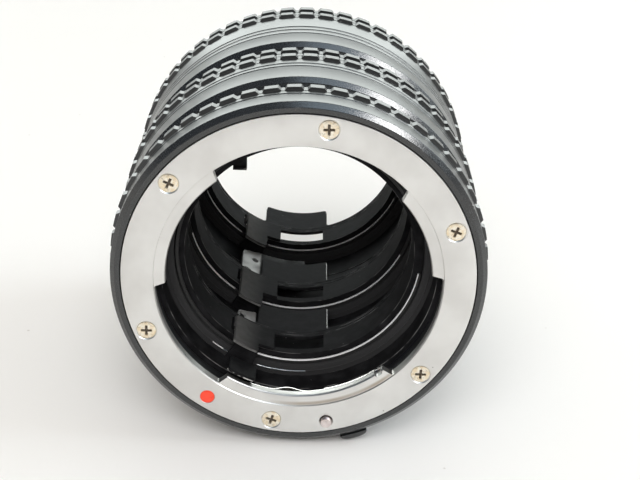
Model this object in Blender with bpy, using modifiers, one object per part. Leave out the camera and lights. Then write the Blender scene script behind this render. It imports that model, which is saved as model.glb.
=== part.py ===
"""Macro extension tube stack: three coupled tubes with three-lug bayonets, lying on their grips.

Each tube is modelled on its own optical axis, local +Z towards the lens side, and hangs from one
empty that lays the whole stack down: the lens side faces -Y, and the grips rest on Z = 0.
Lengths are metres and angles are degrees, counted anticlockwise as seen from the lens side.
"""

import math
from dataclasses import dataclass

import bmesh
import bpy
from mathutils import Matrix

# Clearances
SEAT_GAP = 0.0003
RUN_GAP = 0.0003
FINE_GAP = 0.0002
EMBED = 0.0003
CUT_OVERRUN = 0.0005

# The stack, each length from mount face to mount face
JOINT_GAP = 0.0002
FRONT_TUBE_LENGTH = 0.0120
MIDDLE_TUBE_LENGTH = 0.0196
REAR_TUBE_LENGTH = 0.0256
FRONT_TUBE_GROOVES = (0.0047,)
MIDDLE_TUBE_GROOVES = (0.0067, 0.0082)
REAR_TUBE_GROOVES = (0.0063, 0.0084, 0.0103)

# Bayonet, lens side
THROAT_RADIUS = 0.0223
TAB_DEPTH = 0.0019
FLANGE_BAND = 0.0055
FLANGE_THICKNESS = 0.0018
ENTRY_RADIUS = THROAT_RADIUS + TAB_DEPTH
FLANGE_RADIUS = ENTRY_RADIUS + FLANGE_BAND
FLANGE_TABS = ((3.0, 44.0), (126.4, 184.0), (236.5, 314.2))
TAB_RAMP = 1.6
LEAF_THICKNESS = 0.0002
LEAF_SPAN = (240.0, 310.0)

# Bayonet, camera side
PLATE_OVERHANG = 0.0003
PLATE_THICKNESS = 0.0024
SPIGOT_WALL = 0.0011
SPIGOT_LENGTH = 0.0072
PLATE_RADIUS = FLANGE_RADIUS + PLATE_OVERHANG
SPIGOT_RADIUS = THROAT_RADIUS - RUN_GAP
LUG_THICKNESS = 0.0014
LUG_SPANS = ((6.0, 42.0), (137.0, 177.0), (286.0, 312.0))
LEVER_NOTCH = (233.0, 285.0)
NOTCH_DEPTH = 0.0006

# Light baffle sleeve with its lever guard
SLEEVE_WALL = 0.0006
SLEEVE_RIM_WIDTH = 0.0009
SLEEVE_RADIUS = SPIGOT_RADIUS - SPIGOT_WALL - SEAT_GAP
SLEEVE_BORE = SLEEVE_RADIUS - SLEEVE_WALL
SLEEVE_RIM_RADIUS = SLEEVE_RADIUS + SLEEVE_RIM_WIDTH
SLEEVE_WINDOW = (233.5, 284.0)
WINDOW_START = 0.0005
WINDOW_LENGTH = 0.0045
GUARD_SPAN = (248.5, 286.2)
GUARD_REACH = 0.0080
RETAINER_WIDTH = 0.0006
RETAINER_THICKNESS = 0.0005
RETAINER_SPAN = (20.0, 352.0)

# Barrel
RIM_WALL = 0.0017
RIM_CHAMFER = 0.00085
RIM_DROP = 0.0001
LIP_LENGTH = 0.0024
LIP_STEP = 0.0007
BARREL_RADIUS = FLANGE_RADIUS + FINE_GAP + RIM_WALL
LIP_RADIUS = ENTRY_RADIUS + SEAT_GAP
LIP_DEPTH = FLANGE_THICKNESS + SEAT_GAP + LIP_LENGTH
BARREL_BORE = LIP_RADIUS + LIP_STEP
GROOVE_WIDTH = 0.0005
GROOVE_DEPTH = 0.00025
NECK_LENGTH = 0.0045

# Grip
LAND_HEIGHT = 0.00065
LAND_RADIUS = BARREL_RADIUS + LAND_HEIGHT
GRIP_TEETH = 54
GRIP_LAND = 0.0015
GRIP_GROOVE = 0.0018
NOTCH_HALF_ANGLE = 1.25
NOTCH_CLEARANCE = 0.00006

# Aperture ring and its levers
DRUM_WALL = 0.0013
APERTURE_TRAVEL = 30.0
REAR_LEVER_SPAN = (235.0, 251.5)
REAR_LEVER_THICKNESS = 0.0006
REAR_LEVER_REACH = WINDOW_START + WINDOW_LENGTH
WEB_THICKNESS = 0.0008
WEB_INSET = 2.0
DRIVE_TAB_WIDTH = 1.3
DRIVE_TAB_SETBACK = 0.0016
DRIVE_GAP = 0.6
STOP_TAB_ANGLE = 116.0
STOP_TAB_WIDTH = 0.0023
STOP_TAB_LENGTH = 0.0042
STOP_TAB_RISE = 0.0010
FRONT_LEVER_SPAN = (236.5, 250.5)
FRONT_LEVER_THICKNESS = 0.0006
FRONT_LEVER_SETBACK = 0.0012
FRONT_LEVER_CLEARANCE = 0.0004
FRONT_LEVER_RADIUS = SLEEVE_RADIUS + FRONT_LEVER_CLEARANCE
FRONT_WEB_DEPTH = LIP_DEPTH + RUN_GAP + FINE_GAP
COUPLING_PLATE_SPAN = (231.0, 247.5)
COUPLING_CLEARANCE = 0.0015
COUPLING_TAIL = MIDDLE_TUBE_LENGTH - PLATE_THICKNESS - 2 * RUN_GAP - WEB_THICKNESS - COUPLING_CLEARANCE
COUPLING_HOLE_RADIUS = 0.0006

# Screws
SCREW_EDGE = 0.0022
SCREW_CIRCLE = FLANGE_RADIUS - SCREW_EDGE
SCREW_START = 21.4
FLANGE_SCREWS = 6
SCREW_HEAD_RADIUS = 0.0016
SCREW_CONE_DEPTH = 0.0008
SCREW_SHANK_RADIUS = 0.0008
SCREW_LENGTH = 0.0050
SCREW_SINK = 0.00005
CROSS_LENGTH = 0.0019
CROSS_WIDTH = 0.00045
CROSS_TIP_WIDTH = 0.00030
CROSS_DEPTH = 0.0004
REAR_SCREW_ANGLES = (111.4, 231.4, 351.4)

# Lock pin, release slider and spring
ARM_CLEARANCE = 0.0009
ARM_THICKNESS = 0.0012
ARM_HALF_WIDTH = 0.00085
ARM_TOP = FLANGE_THICKNESS + ARM_CLEARANCE
ARM_FOOT = ARM_TOP + ARM_THICKNESS
PIN_ANGLE = 281.5
PIN_EDGE = 0.0020
PIN_CIRCLE = FLANGE_RADIUS - PIN_EDGE
PIN_RADIUS = 0.00095
PIN_TIP_SHARE = 0.6
PIN_PROUD = 0.0009
PIN_SHOULDER = ARM_TOP - FINE_GAP
PIN_TAIL_RADIUS = 0.0005
PIN_TAIL_LENGTH = 0.0023
PIN_STROKE = 0.0013
BUTTON_ANGLE = 289.0
BUTTON_HALF_SPAN = 4.3
BUTTON_LENGTH = 0.0026
BUTTON_LEAD = 0.0013
BUTTON_THICKNESS = 0.00095
BUTTON_RADIUS = LAND_RADIUS + BUTTON_THICKNESS
STEM_HALF_SPAN = 1.8
SPRING_RADIUS = 0.0009
SPRING_WIRE = 0.00013
SPRING_TURNS = 3
SPRING_TURN_POINTS = 8
WELL_FLOOR = 0.0007
SPRING_END = FRONT_TUBE_LENGTH - PLATE_THICKNESS - SEAT_GAP - WELL_FLOOR - FINE_GAP

# Index dot
DOT_ANGLE = 236.2
DOT_RADIUS = 0.00125
DOT_DEPTH = 0.0004

# Facets
ROUND_FACETS = 36
SCREW_FACETS = 8
PIN_FACETS = 10
ARC_STEP = 10.0
FLAT_ANGLE = 0.05
SHARP_ANGLE = 40.0

BLACK_METAL = ((0.020, 0.022, 0.024), 0.28, 0.9)
MATT_BLACK = ((0.012, 0.012, 0.013), 0.62, 0.0)
SATIN_CHROME = ((0.72, 0.72, 0.71), 0.30, 1.0)
GILT_STEEL = ((0.80, 0.70, 0.52), 0.30, 1.0)
BRIGHT_STEEL = ((0.78, 0.78, 0.80), 0.20, 1.0)
GREY_STEEL = ((0.42, 0.42, 0.43), 0.45, 0.8)


@dataclass(frozen=True)
class Tube:
    """One tube: its name, length from mount face to mount face, grooves and grip rows."""

    name: str
    length: float
    grooves: tuple
    grip_rows: int
    notch_angle: float
    front: float = 0.0

    @property
    def rear(self):
        return self.front - self.length


TUBES = (
    Tube("front", FRONT_TUBE_LENGTH, FRONT_TUBE_GROOVES, 1, 102.9),
    Tube("middle", MIDDLE_TUBE_LENGTH, MIDDLE_TUBE_GROOVES, 2, 98.4),
    Tube("rear", REAR_TUBE_LENGTH, REAR_TUBE_GROOVES, 2, 80.0),
)


def placed_tubes():
    """The tubes with their lens-side mount faces one behind the other."""
    front = 0.0
    placed = []
    for tube in TUBES:
        placed.append(Tube(tube.name, tube.length, tube.grooves, tube.grip_rows, tube.notch_angle, front))
        front -= tube.length + JOINT_GAP
    return placed


def polar(radius, angle):
    """The point at a radius and an angle in degrees."""
    return radius * math.cos(math.radians(angle)), radius * math.sin(math.radians(angle))


def arc(radius, start, end):
    """Points along an arc, ends included."""
    steps = max(1, math.ceil(abs(end - start) / ARC_STEP))
    return [polar(radius, start + (end - start) * i / steps) for i in range(steps + 1)]


def sector(inner, outer, span):
    """The outline of a ring's sector."""
    return arc(inner, span[0], span[1]) + arc(outer, span[1], span[0])


def circle(radius, facets, centre=(0.0, 0.0)):
    """A closed circle's points."""
    points = [polar(radius, 360.0 * i / facets) for i in range(facets)]
    return [(x + centre[0], y + centre[1]) for x, y in points]


def clear_scene():
    """Remove every object of the start-up scene."""
    for obj in list(bpy.data.objects):
        bpy.data.objects.remove(obj, do_unlink=True)


def make_collection(name):
    """A collection linked to the scene."""
    collection = bpy.data.collections.new(name)
    bpy.context.scene.collection.children.link(collection)
    return collection


class Workshop:
    """Makes solids and cutters and hangs them all from the stack's axis."""

    def __init__(self):
        self.parts = make_collection("macro_extension_tube")
        self.cutters = make_collection("cutters")
        self.axis = bpy.data.objects.new("stack_axis", None)
        self.parts.objects.link(self.axis)

    def mesh_object(self, name, mesh, collection=None):
        """An object that holds a mesh and rides on the stack's axis."""
        obj = bpy.data.objects.new(name, mesh)
        (collection or self.parts).objects.link(obj)
        obj.parent = self.axis
        return obj

    def baked(self, obj):
        """The evaluated mesh of an object, welded, with the object removed."""
        bpy.context.view_layer.update()
        graph = bpy.context.evaluated_depsgraph_get()
        mesh = bpy.data.meshes.new_from_object(obj.evaluated_get(graph))
        name = obj.name
        bpy.data.objects.remove(obj, do_unlink=True)
        mesh.name = name
        shape = bmesh.new()
        shape.from_mesh(mesh)
        bmesh.ops.remove_doubles(shape, verts=shape.verts, dist=0.000001)
        flat = math.radians(FLAT_ANGLE)
        bmesh.ops.dissolve_limit(shape, angle_limit=flat, verts=shape.verts, edges=shape.edges)
        bmesh.ops.recalc_face_normals(shape, faces=shape.faces)
        shape.to_mesh(mesh)
        shape.free()
        return mesh

    def turned(self, name, profile, facets, collection=None, closed=True):
        """A turned piece: its profile runs down the outer side, top to bottom, and up the bore."""
        mesh = bpy.data.meshes.new(name)
        count = len(profile)
        edges = [(i, i + 1) for i in range(count - 1)]
        if closed:
            edges.append((count - 1, 0))
        mesh.from_pydata([(radius, 0.0, height) for radius, height in profile], edges, [])
        obj = self.mesh_object(name, mesh, collection)
        screw = obj.modifiers.new("turn", "SCREW")
        screw.steps = facets
        screw.render_steps = facets
        screw.use_merge_vertices = True
        screw.merge_threshold = 0.000001
        return obj

    def plate_mesh(self, name, loops, low, high):
        """A flat outline with its holes, drawn out between two heights."""
        curve = bpy.data.curves.new(name, "CURVE")
        curve.dimensions = "2D"
        curve.fill_mode = "BOTH"
        curve.extrude = (high - low) / 2
        for loop in loops:
            spline = curve.splines.new("POLY")
            spline.points.add(len(loop) - 1)
            for point, (x, y) in zip(spline.points, loop):
                point.co = (x, y, 0.0, 1.0)
            spline.use_cyclic_u = True
        obj = bpy.data.objects.new(name, curve)
        self.parts.objects.link(obj)
        mesh = self.baked(obj)
        mesh.transform(Matrix.Translation((0.0, 0.0, (high + low) / 2)))
        return mesh

    def plate(self, name, loops, low, high, collection=None):
        """A plate as an object."""
        return self.mesh_object(name, self.plate_mesh(name, loops, low, high), collection)

    def scattered(self, name, mesh, places, collection=None):
        """Copies of a mesh joined into one object."""
        shape = bmesh.new()
        for place in places:
            copy = mesh.copy()
            copy.transform(place)
            shape.from_mesh(copy)
            bpy.data.meshes.remove(copy)
        joined = bpy.data.meshes.new(name)
        shape.to_mesh(joined)
        shape.free()
        return self.mesh_object(name, joined, collection)

    def boolean(self, target, tool, operation):
        """Cut or join a tool into a target, and keep the tool as a hidden guide."""
        modifier = target.modifiers.new(operation.lower(), "BOOLEAN")
        modifier.operation = operation
        modifier.object = tool
        tool.hide_render = True
        tool.display_type = "WIRE"

    def cut(self, target, tool):
        """Take a tool's shape out of a target."""
        self.boolean(target, tool, "DIFFERENCE")

    def join(self, target, tool):
        """Make a tool's shape one with a target."""
        self.boolean(target, tool, "UNION")

    def settle(self, obj):
        """Apply a piece's modifiers and shade it smooth up to its edges."""
        bpy.context.view_layer.update()
        graph = bpy.context.evaluated_depsgraph_get()
        mesh = bpy.data.meshes.new_from_object(obj.evaluated_get(graph))
        mesh.name = obj.name
        mesh.shade_smooth()
        mesh.set_sharp_from_angle(angle=math.radians(SHARP_ANGLE))
        obj.modifiers.clear()
        obj.data = mesh

    def paint(self, obj, finish):
        """Finish a piece's mesh and give it its own plain material."""
        self.settle(obj)
        colour, roughness, metallic = finish
        material = bpy.data.materials.new(obj.name + "_finish")
        material.use_nodes = True
        shader = material.node_tree.nodes["Principled BSDF"]
        shader.inputs["Base Color"].default_value = (*colour, 1.0)
        shader.inputs["Roughness"].default_value = roughness
        shader.inputs["Metallic"].default_value = metallic
        obj.data.materials.clear()
        obj.data.materials.append(material)
        return obj

    def lay_down(self):
        """Turn the optical axis level and set the grips on the ground, centred on the origin."""
        last = placed_tubes()[-1]
        reach = last.rear - SPIGOT_LENGTH - GUARD_REACH
        self.axis.rotation_euler = (math.pi / 2, 0.0, 0.0)
        self.axis.location = (0.0, (PIN_PROUD + reach) / 2, LAND_RADIUS)


def screw_profile(length):
    """A countersunk screw's outline, its head's top at height zero."""
    return [
        (0.0, 0.0),
        (SCREW_HEAD_RADIUS, 0.0),
        (SCREW_SHANK_RADIUS, -SCREW_CONE_DEPTH),
        (SCREW_SHANK_RADIUS, -length),
        (0.0, -length),
    ]


def hole_profile(top, bottom):
    """The countersunk hole that a flange screw passes through, carried on above the surface."""
    slope = (SCREW_HEAD_RADIUS - SCREW_SHANK_RADIUS) / SCREW_CONE_DEPTH
    mouth = SCREW_HEAD_RADIUS + FINE_GAP + slope * top
    shank = SCREW_SHANK_RADIUS + FINE_GAP
    return [
        (0.0, top),
        (mouth, top),
        (shank, top - (mouth - shank) / slope),
        (shank, bottom),
        (0.0, bottom),
    ]


def cross_outline():
    """The outline of a cross recess whose arms narrow towards their tips."""
    points = []
    for quarter in range(4):
        turn = math.radians(90.0 * quarter)
        corner = (CROSS_WIDTH / 2, -CROSS_WIDTH / 2)
        low = (CROSS_LENGTH / 2, -CROSS_TIP_WIDTH / 2)
        high = (CROSS_LENGTH / 2, CROSS_TIP_WIDTH / 2)
        for x, y in (corner, low, high):
            turned_x = x * math.cos(turn) - y * math.sin(turn)
            turned_y = x * math.sin(turn) + y * math.cos(turn)
            points.append((turned_x, turned_y))
    return points


def screw_mesh(shop):
    """A countersunk screw with a cross recess, head up."""
    blank = shop.turned("screw_blank", screw_profile(SCREW_LENGTH), SCREW_FACETS, closed=False)
    recess = shop.plate("screw_recess", [cross_outline()], -CROSS_DEPTH, CUT_OVERRUN, shop.cutters)
    shop.cut(blank, recess)
    mesh = shop.baked(blank)
    bpy.data.objects.remove(recess, do_unlink=True)
    return mesh


def hole_mesh(shop, top, bottom):
    """A countersunk hole's cutter."""
    return shop.baked(shop.turned("screw_hole", hole_profile(top, bottom), SCREW_FACETS, closed=False))


def bore_mesh(radius, top, bottom, facets=PIN_FACETS):
    """A plain round cutter on the local axis."""
    shape = bmesh.new()
    size = {"radius1": radius, "radius2": radius, "depth": top - bottom}
    middle = Matrix.Translation((0.0, 0.0, (top + bottom) / 2))
    bmesh.ops.create_cone(shape, cap_ends=True, segments=facets, matrix=middle, **size)
    mesh = bpy.data.meshes.new("round_bore")
    shape.to_mesh(mesh)
    shape.free()
    return mesh


def flange_screw_angles():
    """The angles of a lens-side flange's screws."""
    return [SCREW_START + 360.0 * i / FLANGE_SCREWS for i in range(FLANGE_SCREWS)]


def upright(radius, angle, height):
    """Where a screw goes in from the lens side."""
    x, y = polar(radius, angle)
    turn = Matrix.Rotation(math.radians(angle), 4, "Z")
    return Matrix.Translation((x, y, height)) @ turn


def upturned(radius, angle, height):
    """Where a screw goes in from the camera side."""
    return upright(radius, angle, height) @ Matrix.Rotation(math.pi, 4, "X")


def throat_outline():
    """The throat of a lens-side flange: three tabs between three entries."""
    points = []
    for index, (start, end) in enumerate(FLANGE_TABS):
        points += arc(THROAT_RADIUS, start + TAB_RAMP, end - TAB_RAMP)
        following = FLANGE_TABS[(index + 1) % len(FLANGE_TABS)][0]
        if following < end:
            following += 360.0
        points += arc(ENTRY_RADIUS, end, following)
    return points


def grip_outline(notch_angle):
    """The toothed outline of one grip row."""
    pitch = 360.0 / GRIP_TEETH
    floor = BARREL_RADIUS + NOTCH_CLEARANCE
    points = []
    for index in range(GRIP_TEETH):
        notch = notch_angle + index * pitch
        points.append(polar(floor, notch))
        points.append(polar(LAND_RADIUS, notch + NOTCH_HALF_ANGLE))
        points.append(polar(LAND_RADIUS, notch + pitch - NOTCH_HALF_ANGLE))
    return points


def barrel_tail(tube):
    """The height of the barrel's rear face, above the camera-side plate."""
    return tube.rear + PLATE_THICKNESS + SEAT_GAP


def outer_profile(tube):
    """The outside of a barrel: rim, chamfer, line grooves, grip foot and neck."""
    top = tube.front - RIM_DROP
    foot = tube.rear + NECK_LENGTH - EMBED
    tail = barrel_tail(tube)
    points = [(0.0, top), (BARREL_RADIUS - RIM_CHAMFER, top), (BARREL_RADIUS, top - RIM_CHAMFER)]
    for groove in tube.grooves:
        middle = tube.front - groove
        points.append((BARREL_RADIUS, middle + GROOVE_WIDTH / 2))
        points.append((BARREL_RADIUS - GROOVE_DEPTH, middle))
        points.append((BARREL_RADIUS, middle - GROOVE_WIDTH / 2))
    points += [(BARREL_RADIUS, foot), (PLATE_RADIUS, foot)]
    points += [(PLATE_RADIUS, tail), (0.0, tail)]
    return points


def inner_profile(tube):
    """The inside of a barrel: the flange's seat, the lip under it and the bore."""
    top = tube.front + CUT_OVERRUN
    ledge = tube.front - FLANGE_THICKNESS - SEAT_GAP
    seat = FLANGE_RADIUS + FINE_GAP
    lip_foot = tube.front - LIP_DEPTH
    end = barrel_tail(tube) - CUT_OVERRUN
    return [
        (0.0, top),
        (seat, top),
        (seat, ledge),
        (LIP_RADIUS, ledge),
        (LIP_RADIUS, lip_foot),
        (BARREL_BORE, lip_foot),
        (BARREL_BORE, end),
        (0.0, end),
    ]


def add_grip(shop, tube, barrel):
    """The toothed rows at the barrel's rear, each one with the barrel."""
    high = tube.rear + NECK_LENGTH + GRIP_LAND
    for row in range(tube.grip_rows):
        outline = grip_outline(tube.notch_angle)
        name = f"{tube.name}_grip_row_{row + 1}"
        shop.join(barrel, shop.plate(name, [outline], high - GRIP_LAND, high, shop.cutters))
        high += GRIP_LAND + GRIP_GROOVE


def add_lock_pocket(shop, tube, barrel):
    """The pocket for the release arm, the slot for its stem and the pin's spring well."""
    floor = tube.front - ARM_FOOT - PIN_STROKE - SEAT_GAP
    open_top = tube.front - FLANGE_THICKNESS
    reach = math.degrees((PIN_RADIUS + FINE_GAP) / PIN_CIRCLE)
    arm_inner = PIN_CIRCLE - ARM_HALF_WIDTH - SEAT_GAP
    arm_outer = PIN_CIRCLE + ARM_HALF_WIDTH + SEAT_GAP
    stem_side = STEM_HALF_SPAN + math.degrees(SEAT_GAP / PIN_CIRCLE)
    pocket_end = BUTTON_ANGLE + stem_side + math.degrees(FINE_GAP / PIN_CIRCLE)
    pocket = sector(arm_inner, arm_outer, (PIN_ANGLE - 2 * reach, pocket_end))
    pocket_name = f"{tube.name}_arm_pocket"
    shop.cut(barrel, shop.plate(pocket_name, [pocket], floor, open_top, shop.cutters))
    slot = sector(arm_outer - EMBED, BUTTON_RADIUS, (BUTTON_ANGLE - stem_side, BUTTON_ANGLE + stem_side))
    slot_top = tube.front - ARM_TOP + SEAT_GAP
    slot_floor = floor + FINE_GAP / 2
    slot_name = f"{tube.name}_stem_slot"
    shop.cut(barrel, shop.plate(slot_name, [slot], slot_floor, slot_top, shop.cutters))
    well_radius = SPRING_RADIUS + SPRING_WIRE + FINE_GAP
    well_floor = tube.front - SPRING_END - FINE_GAP
    well = bore_mesh(well_radius, floor + CUT_OVERRUN, well_floor)
    place = [upright(PIN_CIRCLE, PIN_ANGLE, 0.0)]
    shop.cut(barrel, shop.scattered(f"{tube.name}_spring_well", well, place, shop.cutters))


def make_barrel(shop, tube):
    """The turned barrel with its grip, screw holes and lock pocket."""
    barrel = shop.turned(f"{tube.name}_tube_barrel", outer_profile(tube), ROUND_FACETS, closed=False)
    add_grip(shop, tube, barrel)
    bore_name = f"{tube.name}_barrel_bore"
    bore = shop.turned(bore_name, inner_profile(tube), ROUND_FACETS, shop.cutters, closed=False)
    shop.cut(barrel, bore)
    shank = SCREW_SHANK_RADIUS + FINE_GAP
    ledge = tube.front - FLANGE_THICKNESS - SEAT_GAP
    front_hole = bore_mesh(shank, ledge + CUT_OVERRUN, tube.front - SCREW_LENGTH - SEAT_GAP, SCREW_FACETS)
    places = [upright(SCREW_CIRCLE, angle, 0.0) for angle in flange_screw_angles()]
    shop.cut(barrel, shop.scattered(f"{tube.name}_front_holes", front_hole, places, shop.cutters))
    tail = barrel_tail(tube)
    rear_hole = bore_mesh(shank, tube.rear + SCREW_LENGTH + SEAT_GAP, tail - CUT_OVERRUN, SCREW_FACETS)
    places = [upright(SCREW_CIRCLE, angle, 0.0) for angle in REAR_SCREW_ANGLES]
    shop.cut(barrel, shop.scattered(f"{tube.name}_rear_holes", rear_hole, places, shop.cutters))
    add_lock_pocket(shop, tube, barrel)
    return shop.paint(barrel, BLACK_METAL)


def make_lens_flange(shop, tube):
    """The lens-side flange: three tabs, six countersunk holes, the pin's hole and the dot's recess."""
    loops = [circle(FLANGE_RADIUS, ROUND_FACETS), throat_outline()]
    low = tube.front - FLANGE_THICKNESS
    flange = shop.plate(f"{tube.name}_tube_lens_flange", loops, low, tube.front)
    hole = hole_mesh(shop, CUT_OVERRUN, -FLANGE_THICKNESS - CUT_OVERRUN)
    places = [upright(SCREW_CIRCLE, angle, tube.front) for angle in flange_screw_angles()]
    shop.cut(flange, shop.scattered(f"{tube.name}_countersinks", hole, places, shop.cutters))
    pin_hole = bore_mesh(PIN_RADIUS + FINE_GAP, CUT_OVERRUN, -FLANGE_THICKNESS - CUT_OVERRUN)
    place = [upright(PIN_CIRCLE, PIN_ANGLE, tube.front)]
    shop.cut(flange, shop.scattered(f"{tube.name}_pin_hole", pin_hole, place, shop.cutters))
    recess = bore_mesh(DOT_RADIUS, CUT_OVERRUN, -DOT_DEPTH)
    place = [upright(SCREW_CIRCLE, DOT_ANGLE, tube.front)]
    shop.cut(flange, shop.scattered(f"{tube.name}_dot_recess", recess, place, shop.cutters))
    return shop.paint(flange, SATIN_CHROME)


def make_leaf_spring(shop, tube):
    """The thin leaf that lies behind the widest tab and presses on a lug."""
    high = tube.front - FLANGE_THICKNESS - FINE_GAP
    outline = sector(THROAT_RADIUS + SEAT_GAP, ENTRY_RADIUS - SEAT_GAP, LEAF_SPAN)
    leaf = shop.plate(f"{tube.name}_tube_leaf_spring", [outline], high - LEAF_THICKNESS, high)
    return shop.paint(leaf, BRIGHT_STEEL)


def make_screws(shop, tube, mesh):
    """Six screws through the lens flange and three through the camera-side plate."""
    height = tube.front - SCREW_SINK
    for index, angle in enumerate(flange_screw_angles()):
        screw = shop.mesh_object(f"{tube.name}_tube_flange_screw_{index + 1}", mesh)
        screw.matrix_local = upright(SCREW_CIRCLE, angle, height)
        shop.paint(screw, GILT_STEEL)
    height = tube.rear + SCREW_SINK
    for index, angle in enumerate(REAR_SCREW_ANGLES):
        screw = shop.mesh_object(f"{tube.name}_tube_plate_screw_{index + 1}", mesh)
        screw.matrix_local = upturned(SCREW_CIRCLE, angle, height)
        shop.paint(screw, GILT_STEEL)


def sleeve_seat(tube):
    """The height of the shoulder that carries the light baffle's rim."""
    return tube.rear + FINE_GAP


def retainer_low(tube):
    """The underside of the retaining ring, above the baffle's rim."""
    return sleeve_seat(tube) + SEAT_GAP + SLEEVE_WALL + FINE_GAP


def make_camera_bayonet(shop, tube):
    """The camera-side plate and spigot with three lugs and the notch for the levers."""
    spigot = SPIGOT_RADIUS
    inner = spigot - SPIGOT_WALL
    rim = SLEEVE_RIM_RADIUS + SEAT_GAP
    top = tube.rear + PLATE_THICKNESS
    end = tube.rear - SPIGOT_LENGTH
    profile = [
        (PLATE_RADIUS, top),
        (PLATE_RADIUS, tube.rear),
        (spigot, tube.rear),
        (spigot, end),
        (inner, end),
        (inner, sleeve_seat(tube)),
        (rim, sleeve_seat(tube)),
        (rim, top),
    ]
    bayonet = shop.turned(f"{tube.name}_tube_camera_bayonet", profile, ROUND_FACETS)
    lug_high = tube.rear - JOINT_GAP - FLANGE_THICKNESS - 2 * FINE_GAP - LEAF_THICKNESS
    outer = ENTRY_RADIUS - RUN_GAP
    for index, span in enumerate(LUG_SPANS):
        outline = sector(spigot - 2 * EMBED, outer, span)
        name = f"{tube.name}_lug_{index + 1}"
        shop.join(bayonet, shop.plate(name, [outline], lug_high - LUG_THICKNESS, lug_high, shop.cutters))
    notch = sector(inner - CUT_OVERRUN, outer, LEVER_NOTCH)
    notch_low = end - CUT_OVERRUN
    notch_name = f"{tube.name}_lever_notch"
    shop.cut(bayonet, shop.plate(notch_name, [notch], notch_low, tube.rear - NOTCH_DEPTH, shop.cutters))
    hole = hole_mesh(shop, CUT_OVERRUN, -PLATE_THICKNESS - CUT_OVERRUN)
    places = [upturned(SCREW_CIRCLE, angle, tube.rear) for angle in REAR_SCREW_ANGLES]
    shop.cut(bayonet, shop.scattered(f"{tube.name}_plate_countersinks", hole, places, shop.cutters))
    depth = PIN_PROUD + SEAT_GAP
    socket = bore_mesh(PIN_RADIUS + FINE_GAP, depth, -CUT_OVERRUN)
    place = [upright(PIN_CIRCLE, PIN_ANGLE, tube.rear)]
    shop.cut(bayonet, shop.scattered(f"{tube.name}_pin_socket", socket, place, shop.cutters))
    return shop.paint(bayonet, SATIN_CHROME)


def make_light_baffle(shop, tube):
    """The blackened sleeve inside the spigot, with its window and the guard for the lever."""
    outer = SLEEVE_RADIUS
    rim_low = sleeve_seat(tube) + SEAT_GAP
    rim_high = rim_low + SLEEVE_WALL
    end = tube.rear - SPIGOT_LENGTH
    profile = [
        (SLEEVE_RIM_RADIUS, rim_high),
        (SLEEVE_RIM_RADIUS, rim_low),
        (outer, rim_low),
        (outer, end),
        (SLEEVE_BORE, end),
        (SLEEVE_BORE, rim_high),
    ]
    sleeve = shop.turned(f"{tube.name}_tube_light_baffle", profile, ROUND_FACETS)
    guard = sector(SLEEVE_BORE, outer, GUARD_SPAN)
    guard_name = f"{tube.name}_lever_guard"
    shop.join(sleeve, shop.plate(guard_name, [guard], end - GUARD_REACH, end + EMBED, shop.cutters))
    window = sector(SLEEVE_BORE - CUT_OVERRUN, outer + CUT_OVERRUN, SLEEVE_WINDOW)
    window_high = tube.rear - WINDOW_START
    window_low = window_high - WINDOW_LENGTH
    window_name = f"{tube.name}_baffle_window"
    shop.cut(sleeve, shop.plate(window_name, [window], window_low, window_high, shop.cutters))
    return shop.paint(sleeve, MATT_BLACK)


def make_retaining_ring(shop, tube):
    """The bright open ring that keeps the light baffle in its seat."""
    outer = SLEEVE_RIM_RADIUS + SEAT_GAP - FINE_GAP
    low = retainer_low(tube)
    outline = sector(outer - RETAINER_WIDTH, outer, RETAINER_SPAN)
    ring = shop.plate(f"{tube.name}_tube_retaining_ring", [outline], low, low + RETAINER_THICKNESS)
    return shop.paint(ring, BRIGHT_STEEL)


def drum_bore():
    """The inside radius of the aperture ring."""
    return BARREL_BORE - RUN_GAP - DRUM_WALL


def make_aperture_ring(shop, tube):
    """The ring that carries the aperture movement through the tube, with its rear lever."""
    outer = BARREL_BORE - RUN_GAP
    inner = drum_bore()
    high = tube.front - LIP_DEPTH - RUN_GAP
    low = tube.rear + PLATE_THICKNESS + RUN_GAP
    profile = [(outer, high), (outer, low), (inner, low), (inner, high)]
    ring = shop.turned(f"{tube.name}_tube_aperture_ring", profile, ROUND_FACETS)
    lever_outer = SLEEVE_BORE - RUN_GAP
    lever_inner = lever_outer - REAR_LEVER_THICKNESS
    web_low = low + RUN_GAP
    web_span = (REAR_LEVER_SPAN[0] + WEB_INSET, REAR_LEVER_SPAN[1] - WEB_INSET)
    web = sector(lever_inner + EMBED / 2, inner + EMBED, web_span)
    web_name = f"{tube.name}_rear_web"
    shop.join(ring, shop.plate(web_name, [web], web_low, web_low + WEB_THICKNESS, shop.cutters))
    lever = sector(lever_inner, lever_outer, REAR_LEVER_SPAN)
    lever_low = tube.rear - REAR_LEVER_REACH
    lever_high = web_low + WEB_THICKNESS + EMBED
    lever_name = f"{tube.name}_rear_lever"
    shop.join(ring, shop.plate(lever_name, [lever], lever_low, lever_high, shop.cutters))
    tab_end = FRONT_LEVER_SPAN[0] - DRIVE_GAP
    tab_outer = FRONT_LEVER_RADIUS + FRONT_LEVER_THICKNESS
    tab = sector(lever_inner + EMBED / 2, tab_outer, (tab_end - DRIVE_TAB_WIDTH, tab_end))
    tab_high = tube.rear - DRIVE_TAB_SETBACK
    tab_low = lever_low + FINE_GAP
    shop.join(ring, shop.plate(f"{tube.name}_drive_tab", [tab], tab_low, tab_high, shop.cutters))
    add_stop_tab(shop, tube, ring)
    return shop.paint(ring, MATT_BLACK)


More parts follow.
